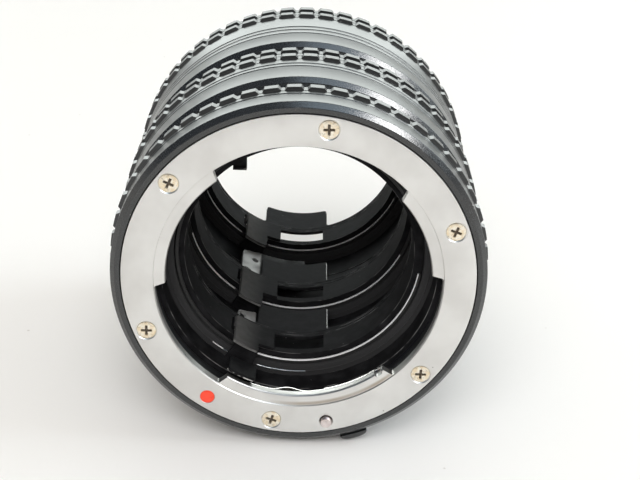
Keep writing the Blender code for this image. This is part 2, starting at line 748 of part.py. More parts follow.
def add_stop_tab(shop, tube, ring):
    """The tab that hangs from the aperture ring near its tail."""
    middle, top = polar(drum_bore(), STOP_TAB_ANGLE)
    left = middle - STOP_TAB_WIDTH / 2
    right = middle + STOP_TAB_WIDTH / 2
    root = drum_bore() + EMBED
    outline = [
        (left, top - STOP_TAB_LENGTH),
        (right, top - STOP_TAB_LENGTH),
        (right, math.sqrt(root ** 2 - right ** 2)),
        (left, math.sqrt(root ** 2 - left ** 2)),
    ]
    low = tube.rear + PLATE_THICKNESS + RUN_GAP + STOP_TAB_RISE
    shop.join(ring, shop.plate(f"{tube.name}_stop_tab", [outline], low, low + WEB_THICKNESS, shop.cutters))


def make_coupling_lever(shop, tube, takes_spigot):
    """The pressed lever that the tube in front, or the lens, pushes against."""
    inner = FRONT_LEVER_RADIUS
    outer = inner + FRONT_LEVER_THICKNESS
    web_high = tube.front - FRONT_WEB_DEPTH
    web_low = web_high - WEB_THICKNESS
    plate_high = tube.front - SPIGOT_LENGTH - SEAT_GAP
    strip_low = plate_high - EMBED if takes_spigot else web_low - EMBED
    strip = sector(inner, outer, FRONT_LEVER_SPAN)
    name = f"{tube.name}_tube_coupling_lever"
    lever = shop.plate(name, [strip], strip_low, tube.front - FRONT_LEVER_SETBACK)
    web_span = (FRONT_LEVER_SPAN[0] + WEB_INSET, FRONT_LEVER_SPAN[1] - WEB_INSET)
    web = sector(inner + EMBED / 2, drum_bore() - FINE_GAP, web_span)
    shop.join(lever, shop.plate(f"{tube.name}_front_web", [web], web_low, web_high, shop.cutters))
    if takes_spigot:
        plate = sector(inner, outer, COUPLING_PLATE_SPAN)
        plate_low = tube.front - COUPLING_TAIL
        plate_name = f"{tube.name}_coupling_plate"
        shop.join(lever, shop.plate(plate_name, [plate], plate_low, plate_high, shop.cutters))
        middle = sum(COUPLING_PLATE_SPAN) / 2
        hole = bore_mesh(COUPLING_HOLE_RADIUS, outer + CUT_OVERRUN, inner - CUT_OVERRUN)
        across = Matrix.Rotation(math.pi / 2, 4, "Y")
        turn = Matrix.Rotation(math.radians(middle), 4, "Z")
        drop = Matrix.Translation((0.0, 0.0, (plate_high + plate_low) / 2))
        hole_name = f"{tube.name}_coupling_hole"
        shop.cut(lever, shop.scattered(hole_name, hole, [drop @ turn @ across], shop.cutters))
    return shop.paint(lever, GREY_STEEL)


def make_lock(shop, tube):
    """The lock pin, the release slider that draws it back, and its spring."""
    tip = PIN_RADIUS * PIN_TIP_SHARE
    shoulder = tube.front - PIN_SHOULDER
    end = tube.front - ARM_FOOT - PIN_TAIL_LENGTH
    profile = [
        (0.0, tube.front + PIN_PROUD),
        (tip, tube.front + PIN_PROUD),
        (PIN_RADIUS, tube.front + PIN_PROUD - (PIN_RADIUS - tip)),
        (PIN_RADIUS, shoulder),
        (PIN_TAIL_RADIUS, shoulder),
        (PIN_TAIL_RADIUS, end),
        (0.0, end),
    ]
    pin = shop.turned(f"{tube.name}_tube_lock_pin", profile, PIN_FACETS, closed=False)
    pin.matrix_local = upright(PIN_CIRCLE, PIN_ANGLE, 0.0)
    shop.paint(pin, BRIGHT_STEEL)
    make_release_slider(shop, tube)
    make_pin_spring(shop, tube)


def make_release_slider(shop, tube):
    """The finger button with its stem and the arm that holds the pin."""
    arm_inner = PIN_CIRCLE - ARM_HALF_WIDTH
    arm_outer = PIN_CIRCLE + ARM_HALF_WIDTH
    arm_start = PIN_ANGLE - math.degrees(PIN_RADIUS / PIN_CIRCLE)
    stem_start = BUTTON_ANGLE - STEM_HALF_SPAN
    stem_end = BUTTON_ANGLE + STEM_HALF_SPAN
    cap_inner = LAND_RADIUS
    outline = arc(arm_inner, arm_start, stem_end) + arc(cap_inner + EMBED, stem_end, stem_start)
    outline += arc(arm_outer, stem_start, arm_start)
    eye = circle(PIN_TAIL_RADIUS + FINE_GAP, PIN_FACETS, polar(PIN_CIRCLE, PIN_ANGLE))
    arm_high = tube.front - ARM_TOP
    name = f"{tube.name}_tube_release_slider"
    slider = shop.plate(name, [outline, eye], arm_high - ARM_THICKNESS, arm_high)
    cap_span = (BUTTON_ANGLE - BUTTON_HALF_SPAN, BUTTON_ANGLE + BUTTON_HALF_SPAN)
    cap_high = arm_high + BUTTON_LEAD
    cap_outline = [sector(cap_inner, BUTTON_RADIUS, cap_span)]
    cap = shop.plate(f"{tube.name}_button", cap_outline, cap_high - BUTTON_LENGTH, cap_high, shop.cutters)
    bevel = cap.modifiers.new("rounding", "BEVEL")
    bevel.width = EMBED / 2
    bevel.segments = 1
    bevel.limit_method = "ANGLE"
    shop.join(slider, cap)
    return shop.paint(slider, BLACK_METAL)


def make_pin_spring(shop, tube):
    """The coil spring that pushes the arm and its pin out."""
    top = tube.front - ARM_FOOT - FINE_GAP - SPRING_WIRE
    bottom = tube.front - SPRING_END + SPRING_WIRE
    steps = SPRING_TURNS * SPRING_TURN_POINTS
    centre = polar(PIN_CIRCLE, PIN_ANGLE)
    curve = bpy.data.curves.new(f"{tube.name}_tube_pin_spring", "CURVE")
    curve.dimensions = "3D"
    curve.bevel_depth = SPRING_WIRE
    curve.bevel_resolution = 1
    curve.use_fill_caps = True
    spline = curve.splines.new("POLY")
    spline.points.add(steps)
    for index, point in enumerate(spline.points):
        x, y = polar(SPRING_RADIUS, 360.0 * SPRING_TURNS * index / steps)
        height = top + (bottom - top) * index / steps
        point.co = (centre[0] + x, centre[1] + y, height, 1.0)
    coil = bpy.data.objects.new(curve.name, curve)
    shop.parts.objects.link(coil)
    name = coil.name
    mesh = shop.baked(coil)
    spring = shop.mesh_object(name, mesh)
    return shop.paint(spring, BRIGHT_STEEL)


def make_tube(shop, tube, screws):
    """Every piece of one tube."""
    make_barrel(shop, tube)
    make_lens_flange(shop, tube)
    make_leaf_spring(shop, tube)
    make_screws(shop, tube, screws)
    make_camera_bayonet(shop, tube)
    make_light_baffle(shop, tube)
    make_retaining_ring(shop, tube)
    make_aperture_ring(shop, tube)
    make_coupling_lever(shop, tube, tube.name != TUBES[0].name)
    make_lock(shop, tube)


def main():
    """Build the three tubes and lay the stack down."""
    clear_scene()
    shop = Workshop()
    screws = screw_mesh(shop)
    for tube in placed_tubes():
        make_tube(shop, tube, screws)
    shop.lay_down()


main()
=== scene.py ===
"""Looks of three coupled macro extension tubes that lie on their grips, seen from the lens side.

Places follow the optical axis: a radius and an angle about it, counted anticlockwise as seen from the
lens side, and a depth along it. The axis is level, and depth grows along +Y towards the camera side.
"""

import json
import logging
import math
from dataclasses import dataclass
from enum import Enum
from typing import Callable, Iterable, Sequence

import bmesh
import bpy
from mathutils import Matrix, Vector


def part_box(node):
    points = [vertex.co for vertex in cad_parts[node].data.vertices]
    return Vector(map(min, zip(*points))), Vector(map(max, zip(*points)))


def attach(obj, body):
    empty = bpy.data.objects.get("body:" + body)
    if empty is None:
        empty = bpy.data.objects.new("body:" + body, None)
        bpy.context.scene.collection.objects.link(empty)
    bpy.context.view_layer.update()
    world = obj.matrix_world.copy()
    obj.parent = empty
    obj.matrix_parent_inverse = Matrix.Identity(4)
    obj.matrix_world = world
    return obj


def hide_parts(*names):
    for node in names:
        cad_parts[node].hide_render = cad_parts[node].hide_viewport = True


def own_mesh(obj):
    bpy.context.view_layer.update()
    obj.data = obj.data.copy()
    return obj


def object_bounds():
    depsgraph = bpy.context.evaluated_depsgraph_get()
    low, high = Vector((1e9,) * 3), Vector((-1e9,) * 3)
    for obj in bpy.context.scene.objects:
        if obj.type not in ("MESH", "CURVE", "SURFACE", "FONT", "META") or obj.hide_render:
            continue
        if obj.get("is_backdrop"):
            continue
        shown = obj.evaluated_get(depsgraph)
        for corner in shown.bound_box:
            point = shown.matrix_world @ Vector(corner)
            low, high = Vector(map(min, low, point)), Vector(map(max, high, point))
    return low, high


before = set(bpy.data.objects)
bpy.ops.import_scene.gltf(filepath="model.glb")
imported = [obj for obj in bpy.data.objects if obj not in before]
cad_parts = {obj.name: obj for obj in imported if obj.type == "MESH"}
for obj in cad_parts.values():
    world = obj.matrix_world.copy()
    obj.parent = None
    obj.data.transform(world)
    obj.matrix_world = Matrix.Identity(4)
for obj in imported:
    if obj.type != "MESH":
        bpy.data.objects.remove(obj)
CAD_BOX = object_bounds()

logging.basicConfig(level=logging.INFO, format="%(levelname)s %(message)s")
LOG = logging.getLogger("extension_tubes")

MM = 0.001
TEETH = 60
Point2 = tuple[float, float]
Outline = Sequence[Point2]
Colour = tuple[float, float, float]
Piece = bpy.types.Object


class Slot(Enum):
    """The record's material slots."""

    ENAMEL = "black_enamel"
    CHROME = "satin_chrome"
    GILT = "gilt_steel"
    SPRING = "spring_steel"
    GREY = "grey_steel"
    MATT = "matt_black"


class Row(Enum):
    """The three tubes, from the lens side to the camera side."""

    FRONT = "front"
    MIDDLE = "middle"
    REAR = "rear"


class Body(Enum):
    """What a piece moves with."""

    TUBES = "tubes"
    APERTURE = "{row}_aperture"
    LOCK = "{row}_lock"

    def of(self, row: Row) -> str:
        """The body's name for one tube."""
        return self.value.format(row=row.value)


class Wire:
    """A node's output, which takes arithmetic and adds the Math nodes for it."""

    def __init__(self, graph: "Graph", socket: bpy.types.NodeSocket) -> None:
        """Keep the socket and the graph it belongs to.

        Args:
            graph: The graph that the node stands in.
            socket: The output socket.
        """
        self.graph = graph
        self.socket = socket

    def out(self, name: str) -> "Wire":
        """Another output of the same node."""
        return Wire(self.graph, self.socket.node.outputs[name])

    def math(self, operation: str, *others: "float | Wire") -> "Wire":
        """A Math node with this value first.

        Args:
            operation: The node's operation.
            others: The values or wires that follow.

        Returns:
            The node's result.
        """
        return self.graph.math(operation, self, *others)

    def __add__(self, other: "float | Wire") -> "Wire":
        """Sum."""
        return self.math("ADD", other)

    __radd__ = __add__

    def __mul__(self, other: "float | Wire") -> "Wire":
        """Product."""
        return self.math("MULTIPLY", other)

    __rmul__ = __mul__

    def __sub__(self, other: "float | Wire") -> "Wire":
        """Difference."""
        return self.math("SUBTRACT", other)

    def __rsub__(self, other: "float | Wire") -> "Wire":
        """Difference with this value last."""
        return self.graph.math("SUBTRACT", other, self)

    def __truediv__(self, other: "float | Wire") -> "Wire":
        """Quotient."""
        return self.math("DIVIDE", other)

    def __rtruediv__(self, other: "float | Wire") -> "Wire":
        """Quotient with this value last."""
        return self.graph.math("DIVIDE", other, self)

    def __gt__(self, other: "float | Wire") -> "Wire":
        """One where this value is the greater."""
        return self.math("GREATER_THAN", other)

    def __lt__(self, other: "float | Wire") -> "Wire":
        """One where this value is the lesser."""
        return self.math("LESS_THAN", other)


Value = float | int | bool | str | tuple | Wire


class Graph:
    """Adds nodes to a shader's or a geometry's tree."""

    def __init__(self, tree: bpy.types.NodeTree) -> None:
        """Take the tree to fill.

        Args:
            tree: The node tree.
        """
        self.tree = tree

    def node(
        self, kind: str, values: dict | None = None, settings: dict | None = None, out: int | str = 0
    ) -> Wire:
        """Add one node.

        Args:
            kind: The node's type.
            values: Each socket's value or wire, by name or index.
            settings: What is set on the node before its sockets, with a ramp's stops as "stops".
            out: The output that is handed back.

        Returns:
            The chosen output.
        """
        made = self.tree.nodes.new(kind)
        for key, value in (settings or {}).items():
            if key == "stops":
                self.set_stops(made.color_ramp, value)
            else:
                setattr(made, key, value)
        for key, value in (values or {}).items():
            if isinstance(value, Wire):
                self.tree.links.new(value.socket, made.inputs[key])
            else:
                made.inputs[key].default_value = value
        return Wire(self, made.outputs[out]) if len(made.outputs) else Wire(self, None)

    @staticmethod
    def set_stops(ramp: bpy.types.ColorRamp, stops: Sequence[tuple[float, Colour]]) -> None:
        """Give a ramp its stops.

        Args:
            ramp: The ramp.
            stops: Each stop's place and colour.
        """
        while len(ramp.elements) < len(stops):
            ramp.elements.new(1.0)
        for element, (place, colour) in zip(ramp.elements, stops):
            element.position = place
            element.color = (*colour, 1.0)

    def math(self, operation: str, *values: float | Wire) -> Wire:
        """A Math node on values and wires."""
        return self.node("ShaderNodeMath", dict(enumerate(values)), {"operation": operation})

    def mix(self, share: float | Wire, low: Colour | Wire, high: Colour | Wire) -> Wire:
        """Mix two colours.

        Args:
            share: How much of the second colour shows.
            low: The first colour.
            high: The second colour.

        Returns:
            The mixed colour.
        """
        inputs = {0: share, 6: as_colour(low), 7: as_colour(high)}
        return self.node("ShaderNodeMix", inputs, {"data_type": "RGBA"}, 2)

    def between(self, share: Wire, low: float, high: float) -> Wire:
        """A number that runs from low to high as share runs from 0 to 1."""
        return share * (high - low) + low

    def step(self, value: Wire, start: float, end: float) -> Wire:
        """A smooth step from 0 at start to 1 at end.

        Args:
            value: The value that is looked at.
            start: Where the step begins.
            end: Where it is complete.

        Returns:
            The step.
        """
        settings = {"interpolation_type": "SMOOTHSTEP"}
        values = {"Value": value, "From Min": start, "From Max": end}
        return self.node("ShaderNodeMapRange", values, settings)


def as_colour(value: Colour | Wire) -> tuple | Wire:
    """A colour with its alpha, or the wire as it is."""
    return value if isinstance(value, Wire) else (*value, 1.0)


class Shade(Graph):
    """A material's graph, with the noises and places that the finishes share."""

    def place(self) -> Wire:
        """The point on the piece, in metres."""
        return self.node("ShaderNodeTexCoord", out="Object")

    def noise(
        self, feature: float, detail: float = 2.0, rough: float = 0.5, stretch: tuple = (1, 1, 1)
    ) -> Wire:
        """Noise whose blobs are about one feature wide.

        Args:
            feature: The size of a blob, in metres.
            detail: How many finer layers it has.
            rough: How strong the finer layers are.
            stretch: A factor for each axis.

        Returns:
            The noise, about 0.5.
        """
        vector = self.node("ShaderNodeMapping", {"Vector": self.place(), "Scale": stretch})
        values = {"Vector": vector, "Scale": 1.0 / feature, "Detail": detail, "Roughness": rough}
        return self.node("ShaderNodeTexNoise", values)

    def specks(self, spacing: float, share: float) -> Wire:
        """Small round specks scattered over the surface.

        Args:
            spacing: The distance between neighbouring cells, in metres.
            share: The speck's radius as a share of a cell.

        Returns:
            One inside a speck.
        """
        cells = self.node("ShaderNodeTexVoronoi", {"Vector": self.place(), "Scale": 1.0 / spacing})
        chosen = self.node("ShaderNodeSeparateColor", {"Color": cells.out("Color")})
        return self.step(cells.out("Distance"), share, share * 0.5) * (chosen > 0.55)

    def rings(self, width: float) -> Wire:
        """Fine turning marks that follow the radius and the depth.

        Args:
            width: The width of one mark, in metres.

        Returns:
            The marks, about 0.5.
        """
        radius, depth = self.radius(), self.depth()
        vector = self.node("ShaderNodeCombineXYZ", {0: radius, 1: depth, 2: 0.0})
        values = {"Vector": vector, "Scale": 1.0 / width, "Detail": 2.0, "Roughness": 0.6}
        return self.node("ShaderNodeTexNoise", values)

    def parts(self) -> Wire:
        """The point's three numbers."""
        return self.node("ShaderNodeSeparateXYZ", {0: self.place()}, out="X")

    def radius(self) -> Wire:
        """The distance from the optical axis."""
        parts = self.parts()
        rise = parts.out("Z") - STACK.axis
        return (parts * parts + rise * rise).math("SQRT")

    def depth(self) -> Wire:
        """The place along the optical axis."""
        return self.parts().out("Y")

    def angle(self) -> Wire:
        """The angle about the optical axis in degrees, from 0 to 360."""
        parts = self.parts()
        turn = (parts.out("Z") - STACK.axis).math("ARCTAN2", parts) * math.degrees(1.0)
        return (turn + 360.0).math("FLOORED_MODULO", 360.0)

    def arcs(self, spans: Outline, soft: float = 1.0) -> Wire | float:
        """One along some arcs about the optical axis.

        Args:
            spans: Each arc's first and last angle in degrees.
            soft: How far an end fades, in degrees.

        Returns:
            The mask.
        """
        angle = self.angle()
        mask = 0.0
        for start, end in spans:
            mask = mask + self.step(angle, start, start + soft) * self.step(angle, end + soft, end)
        return mask

    def attribute(self, name: str) -> Wire:
        """A number stored on the mesh."""
        return self.node("ShaderNodeAttribute", settings={"attribute_name": name}, out="Fac")

    def bump(self, height: Wire, strength: float, distance: float) -> Wire:
        """A Bump node.

        Args:
            height: The height field.
            strength: How strong it is.
            distance: The height of one unit, in metres.

        Returns:
            The bent normal.
        """
        values = {"Height": height, "Strength": strength, "Distance": distance}
        return self.node("ShaderNodeBump", values)


@dataclass(frozen=True)
class Finish:
    """A finish, which becomes one material."""

    name: str
    slot: Slot

    def sockets(self, shade: Shade) -> dict[str, Value]:
        """What goes into the shader's sockets."""
        raise NotImplementedError

    def material(self) -> bpy.types.Material:
        """The finish as a material.

        Returns:
            The material, made once and then shared.
        """
        found = bpy.data.materials.get(self.name)
        if found:
            return found
        material = bpy.data.materials.new(self.name)
        material.use_nodes = True
        material.node_tree.nodes.clear()
        shade = Shade(material.node_tree)
        shader = shade.node("ShaderNodeBsdfPrincipled", self.sockets(shade))
        shade.node("ShaderNodeOutputMaterial", {"Surface": shader})
        return material


@dataclass(frozen=True)
class BlackEnamel(Finish):
    """Hard glossy black on turned metal, rubbed to grey along its edges."""

    name: str = "hard_black_enamel"
    slot: Slot = Slot.ENAMEL
    colour: Colour = (0.011, 0.0125, 0.0135)
    faded: Colour = (0.020, 0.022, 0.023)
    rubbed: Colour = (0.30, 0.30, 0.29)
    gloss: tuple[float, float] = (0.30, 0.38)
    polished: float = -1.0
    index: float = 1.7

    def sockets(self, shade: Shade) -> dict[str, Value]:
        """Cloudy black, with fine grain, dust, thin rubbed edges and a glossier, speckled chamfer."""
        cloud = shade.noise(6.0 * MM, 3.0)
        grain = shade.noise(0.16 * MM, 2.0, 0.7)
        patch = shade.step(shade.noise(2.4 * MM, 4.0, 0.65), 0.56, 0.70)
        worn = shade.step(shade.attribute("rub"), 0.55, 0.95) * patch
        dust = shade.specks(2.3 * MM, 0.045)
        base = shade.mix(cloud, self.colour, self.faded)
        base = shade.mix(worn * 0.75, base, self.rubbed)
        base = shade.mix(dust * 0.5, base, (0.5, 0.5, 0.48))
        speckle = shade.step(shade.noise(0.28 * MM, 3.0, 0.7), 0.40, 0.62)
        front = shade.step(shade.depth(), self.polished + 0.05 * MM, self.polished)
        rough = shade.between(cloud, *self.gloss) - front * (0.15 - speckle * 0.10)
        rough = rough + worn * 0.15 + dust * 0.3
        height = grain + shade.rings(0.05 * MM) * 0.35 + front * speckle * 1.2
        return {
            "Base Color": base,
            "Roughness": rough,
            "Metallic": worn * 0.8,
            "IOR": self.index,
            "Normal": shade.bump(height, 0.30, 0.006 * MM),
        }


@dataclass(frozen=True)
class SatinChrome(Finish):
    """Satin plating with a soft cloudy sheen, turning marks, pits and faint handling marks."""

    name: str = "satin_chrome_plate"
    slot: Slot = Slot.CHROME
    colour: Colour = (0.775, 0.77, 0.75)
    shaded: Colour = (0.70, 0.69, 0.67)
    gloss: tuple[float, float] = (0.34, 0.44)
    grime: Colour = (0.40, 0.34, 0.28)
    step_shade_arc: tuple[Point2, ...] = ((256.0, 306.0),)
    step_shade_band: Point2 = (23.9 * MM, 24.55 * MM)
    # On this plating the darker tone is the painted shade on the throat's inner face.
    dull: Colour = (0.30, 0.29, 0.28)
    throat_shade_edge: Point2 = (22.52 * MM, 22.40 * MM)

    def sockets(self, shade: Shade) -> dict[str, Value]:
        """Soft clouds, small dark pits, a throat darkened as painted shade and a dirty brown band of painted
        shade along the step of the widest tab.
        """
        cloud = shade.step(shade.noise(9.0 * MM, 3.0, 0.55), 0.32, 0.70)
        marks = shade.rings(0.07 * MM)
        grain = shade.noise(0.12 * MM, 2.0)
        pits = shade.specks(3.1 * MM, 0.05)
        scuff = shade.step(shade.noise(1.6 * MM, 5.0, 0.7, (1, 1, 3)), 0.66, 0.74)
        # Painted shade, tinted dirty brown: a band along the step round the widest tab, where the step's wall
        # lies in shade.
        radius, (inner, outer) = shade.radius(), self.step_shade_band
        band = shade.step(radius, inner - 0.6 * MM, inner) * shade.step(radius, outer, inner)
        dirt_and_shade_mask = band * shade.arcs(self.step_shade_arc, 16.0) * shade.between(cloud, 0.55, 0.95)
        base = shade.mix(cloud, self.shaded, self.colour)
        base = shade.mix(dirt_and_shade_mask, base, self.grime)
        # Painted shade: the throat's inner face is darkened.
        base = shade.mix(shade.step(radius, *self.throat_shade_edge) * 0.7, base, self.dull)
        base = shade.mix(pits * 0.8, base, (0.10, 0.08, 0.06))
        rough = shade.between(cloud, self.gloss[1], self.gloss[0]) + scuff * 0.10 + marks * 0.05
        return {
            "Base Color": base,
            "Roughness": rough,
            "Metallic": 1.0,
            "Normal": shade.bump(marks * 0.6 + grain * 0.6 - pits * 3.0, 0.22, 0.006 * MM),
        }


@dataclass(frozen=True)
class GiltSteel(Finish):
    """Yellow plated screws, dirty and in painted shade in the recess, with painted shadow below the head's
    rim.
    """

    name: str = "gilt_screw_steel"
    slot: Slot = Slot.GILT
    colour: Colour = (0.83, 0.70, 0.50)
    pale: Colour = (0.92, 0.86, 0.74)
    grime: Colour = (0.035, 0.016, 0.008)

    def sockets(self, shade: Shade) -> dict[str, Value]:
        """Mottled yellow with brown stains, and dark brown painted shade where the mesh is marked."""
        cloud = shade.noise(0.8 * MM, 3.0)
        dirt_and_shade_mask = shade.attribute("grime")
        stain = shade.step(shade.noise(0.35 * MM, 3.0, 0.6), 0.56, 0.68) * 0.35
        base = shade.mix(shade.step(cloud, 0.35, 0.65), self.colour, self.pale)
        # Stains and the marked painted shade darken the yellow towards a dark brown.
        base = shade.mix((dirt_and_shade_mask * 0.85 + stain).math("MINIMUM", 1.0), base, self.grime)
        return {
            "Base Color": base,
            "Roughness": shade.between(cloud, 0.22, 0.40) + dirt_and_shade_mask * 0.3,
            "Metallic": 1.0 - dirt_and_shade_mask * 0.5,
            "Normal": shade.bump(shade.noise(0.1 * MM), 0.25, 0.008 * MM),
        }


@dataclass(frozen=True)
class SpringSteel(Finish):
    """Bright drawn steel."""

    name: str = "bright_spring_steel"
    slot: Slot = Slot.SPRING
    colour: Colour = (0.82, 0.79, 0.78)
    dull: Colour = (0.58, 0.54, 0.52)

    def sockets(self, shade: Shade) -> dict[str, Value]:
        """Bright metal with dull patches and fine scratches."""
        cloud = shade.noise(1.2 * MM, 3.0)
        scratch = shade.noise(0.06 * MM, 2.0, 0.6, (1, 6, 1))
        return {
            "Base Color": shade.mix(shade.step(cloud, 0.3, 0.7), self.dull, self.colour),
            "Roughness": shade.between(cloud, 0.16, 0.32),
            "Metallic": 1.0,
            "Normal": shade.bump(scratch, 0.2, 0.004 * MM),
        }


@dataclass(frozen=True)
class GreySteel(Finish):
    """Dull grey pressed steel with smudges, black past an angle as painted shadow, and bare along its worn
    rim.
    """

    name: str = "grey_pressed_steel"
    slot: Slot = Slot.GREY
    colour: Colour = (0.36, 0.36, 0.36)
    smudge: Colour = (0.24, 0.24, 0.24)
    black: Colour = (0.010, 0.010, 0.011)
    bare: Colour = (0.75, 0.75, 0.74)
    fade: Point2 = (247.3, 248.6)

    def sockets(self, shade: Shade) -> dict[str, Value]:
        """Smudged grey metal with a fine rolled grain."""
        cloud = shade.step(shade.noise(2.2 * MM, 4.0, 0.6), 0.42, 0.66)
        grain = shade.noise(0.08 * MM, 2.0, 0.6, (1, 4, 1))
        # Painted shadow: the lever turns black past this angle, where it lies in shadow; on the front tube it
        # is black all over.
        dark = shade.step(shade.angle(), *self.fade)
        worn = shade.step(shade.attribute("rub"), 1.2, 1.8) * shade.step(shade.noise(0.9 * MM), 0.40, 0.55)
        base = shade.mix(cloud * 0.6, self.colour, self.smudge)
        base = shade.mix(dark, base, self.black)
        base = shade.mix(worn, base, self.bare)
        return {
            "Base Color": base,
            "Roughness": shade.between(cloud, 0.42, 0.58) + dark * 0.2,
            "Metallic": (1.0 - dark) * 0.15,
            "Specular IOR Level": 0.06,
            "Normal": shade.bump(grain, 0.25, 0.005 * MM),
        }


@dataclass(frozen=True)
class MattBlack(Finish):
    """Blackened metal inside the tubes, with a low sheen and pale dust."""

    name: str = "matt_black_lining"
    slot: Slot = Slot.MATT
    colour: Colour = (0.009, 0.009, 0.010)
    dusty: Colour = (0.022, 0.022, 0.024)
    bare: Colour = (0.42, 0.42, 0.42)
    gloss: tuple[float, float] = (0.50, 0.64)
    specular: float = 0.018

    def sockets(self, shade: Shade) -> dict[str, Value]:
        """Black with a dusty bloom, turning marks, small pale flecks and thin pale edges that are partly wear
        and partly painted edge highlights.
        """
        cloud = shade.noise(3.5 * MM, 4.0, 0.6)
        marks = shade.rings(0.10 * MM)
        fleck = shade.specks(1.7 * MM, 0.05)
        rub = shade.attribute("rub")
        # Pale lines on the marked edges: partly wear, partly painted highlights where the edges catch the
        # light.
        worn = shade.step(rub, 0.5, 0.95) * shade.step(shade.noise(3.0 * MM), 0.42, 0.60) * 0.45
        worn = worn.math("MAXIMUM", shade.step(rub, 1.3, 1.9) * 0.8)
        bloom = shade.step(cloud, 0.35, 0.72).math("MAXIMUM", shade.step(marks, 0.52, 0.72))
        base = shade.mix(bloom, self.colour, self.dusty)
        base = shade.mix(worn, base, self.bare)
        base = shade.mix(fleck * 0.7, base, (0.34, 0.34, 0.33))
        return {
            "Base Color": base,
            "Roughness": shade.between(cloud, *self.gloss) - worn * 0.25,
            "Metallic": worn * 0.3,
            "Specular IOR Level": self.specular,
            "Normal": shade.bump(marks * 0.8 + shade.noise(0.12 * MM), 0.35, 0.008 * MM),
        }


@dataclass(frozen=True)
class LeverBlack(MattBlack):
    """The lining's black on the aperture rings, with a painted sheen that pales one end of the rear lever's
    face.
    """

    name: str = "rubbed_lever_black"
    lever_radius: float = 19.8 * MM
    fade: Point2 = (253.0, 236.0)
    pale: Colour = (0.13, 0.13, 0.13)

    def sockets(self, shade: Shade) -> dict[str, Value]:
        """The lining's finish with a painted sheen on the lever's end."""
        made = super().sockets(shade)
        # Painted sheen: the lever's face pales towards one end, as if light fell on it from that side.
        lever = shade.radius() < self.lever_radius
        share = shade.step(shade.angle(), *self.fade) * lever * shade.between(shade.noise(1.4 * MM), 0.5, 1.0)
        made["Base Color"] = shade.mix(share, made["Base Color"], self.pale)
        return made


@dataclass(frozen=True)
class BrightRing(Finish):
    """Blackened steel ring whose inner edge carries a painted glint, white along some arcs."""

    name: str = "half_bright_ring"
    slot: Slot = Slot.SPRING
    arcs: tuple[Point2, ...] = ()
    edge: float = 21.12 * MM
    bright: Colour = (0.94, 0.95, 0.97)
    dark: Colour = (0.035, 0.035, 0.036)

    def sockets(self, shade: Shade) -> dict[str, Value]:
        """A painted glint along its arcs, and blackened elsewhere."""
        # Painted highlight: a white, mostly diffuse line along the arcs where the edge catches the light.
        bare = shade.arcs(self.arcs) * (shade.radius() < self.edge)
        cloud = shade.noise(1.5 * MM, 3.0)
        return {
            "Base Color": shade.mix(bare, self.dark, self.bright),
            "Roughness": shade.between(cloud, 0.24, 0.36),
            "Metallic": bare * 0.1,
            "Specular IOR Level": 0.15,
            "Normal": shade.bump(shade.noise(0.09 * MM), 0.2, 0.004 * MM),
        }


@dataclass(frozen=True)
class HalfBlackenedChrome(SatinChrome):
    """Satin plating whose inside is blackened, with the plating left showing along some arcs of a turned line
    on its lens side as a painted glint.
    """

    name: str = "half_blackened_chrome"
    arcs: tuple[Point2, ...] = ()
    line: Point2 = (22.79 * MM, 23.01 * MM)
    black: Colour = (0.040, 0.040, 0.042)

    def sockets(self, shade: Shade) -> dict[str, Value]:
        """The plating where nothing is marked, and black where it is."""
        made = super().sockets(shade)
        radius = shade.radius()
        # Painted highlight: the turned line keeps its plating only on the arcs where it catches the light.
        glint_line = (radius > self.line[0]) * (radius < self.line[1]) * shade.arcs(self.arcs)
        dark = shade.step(shade.attribute("rub"), 0.4, 0.6) * (1.0 - glint_line)
        made["Base Color"] = shade.mix(dark, made["Base Color"], self.black)
        made["Roughness"] = made["Roughness"] + dark * 0.3
        made["Metallic"] = 1.0 - dark
        made["Specular IOR Level"] = 0.1
        return made


@dataclass(frozen=True)
class PinSteel(SpringSteel):
    """Worn steel of the lock pins, with a faint pink tarnish."""

    name: str = "tarnished_pin_steel"
    colour: Colour = (0.80, 0.72, 0.70)
    dull: Colour = (0.62, 0.53, 0.51)


@dataclass(frozen=True)
class RedPaint(Finish):
    """The index dot's orange-red paint."""

    name: str = "red_index_paint"
    slot: Slot = Slot.CHROME
    colour: Colour = (1.0, 0.075, 0.032)
    deep: Colour = (0.93, 0.05, 0.022)

    def sockets(self, shade: Shade) -> dict[str, Value]:
        """Slightly uneven paint with a soft gloss."""
        cloud = shade.noise(0.7 * MM, 3.0)
        return {
            "Base Color": shade.mix(shade.step(cloud, 0.4, 0.75), self.colour, self.deep),
            "Roughness": shade.between(cloud, 0.38, 0.5),
            "Normal": shade.bump(shade.noise(0.25 * MM), 0.2, 0.01 * MM),
        }


@dataclass(frozen=True)
class Tube:
    """One tube's place and the sizes in which the three differ."""

    row: Row
    front: float
    rear: float
    grooves: tuple[float, ...]
    grip_rows: int
    notch_angle: float
    ring_glint_arcs: tuple[Point2, ...]
    plate_glint_arcs: tuple[Point2, ...] = ()
    bore_lines: tuple[float, ...] = ()
    lever_near: float = -6.5 * MM
    # Angles past which the lever is painted black as shadow.
    lever_shadow_angles: Point2 = (247.3, 248.6)
    plate_tail: float = 0.0
    plate_span: Point2 = (238.4, 248.2)
    plate_holes: tuple[tuple[float, float, float, float], ...] = ()

    @property
    def length(self) -> float:
        """From mount face to mount face."""
        return self.rear - self.front

    def node(self, piece: str) -> str:
        """The name of one of this tube's nodes."""
        return f"{self.row.value}_tube_{piece}"

    def named(self, piece: str) -> str:
        """The name of one of this tube's pieces or finishes."""
        return f"{self.row.value}_{piece}"


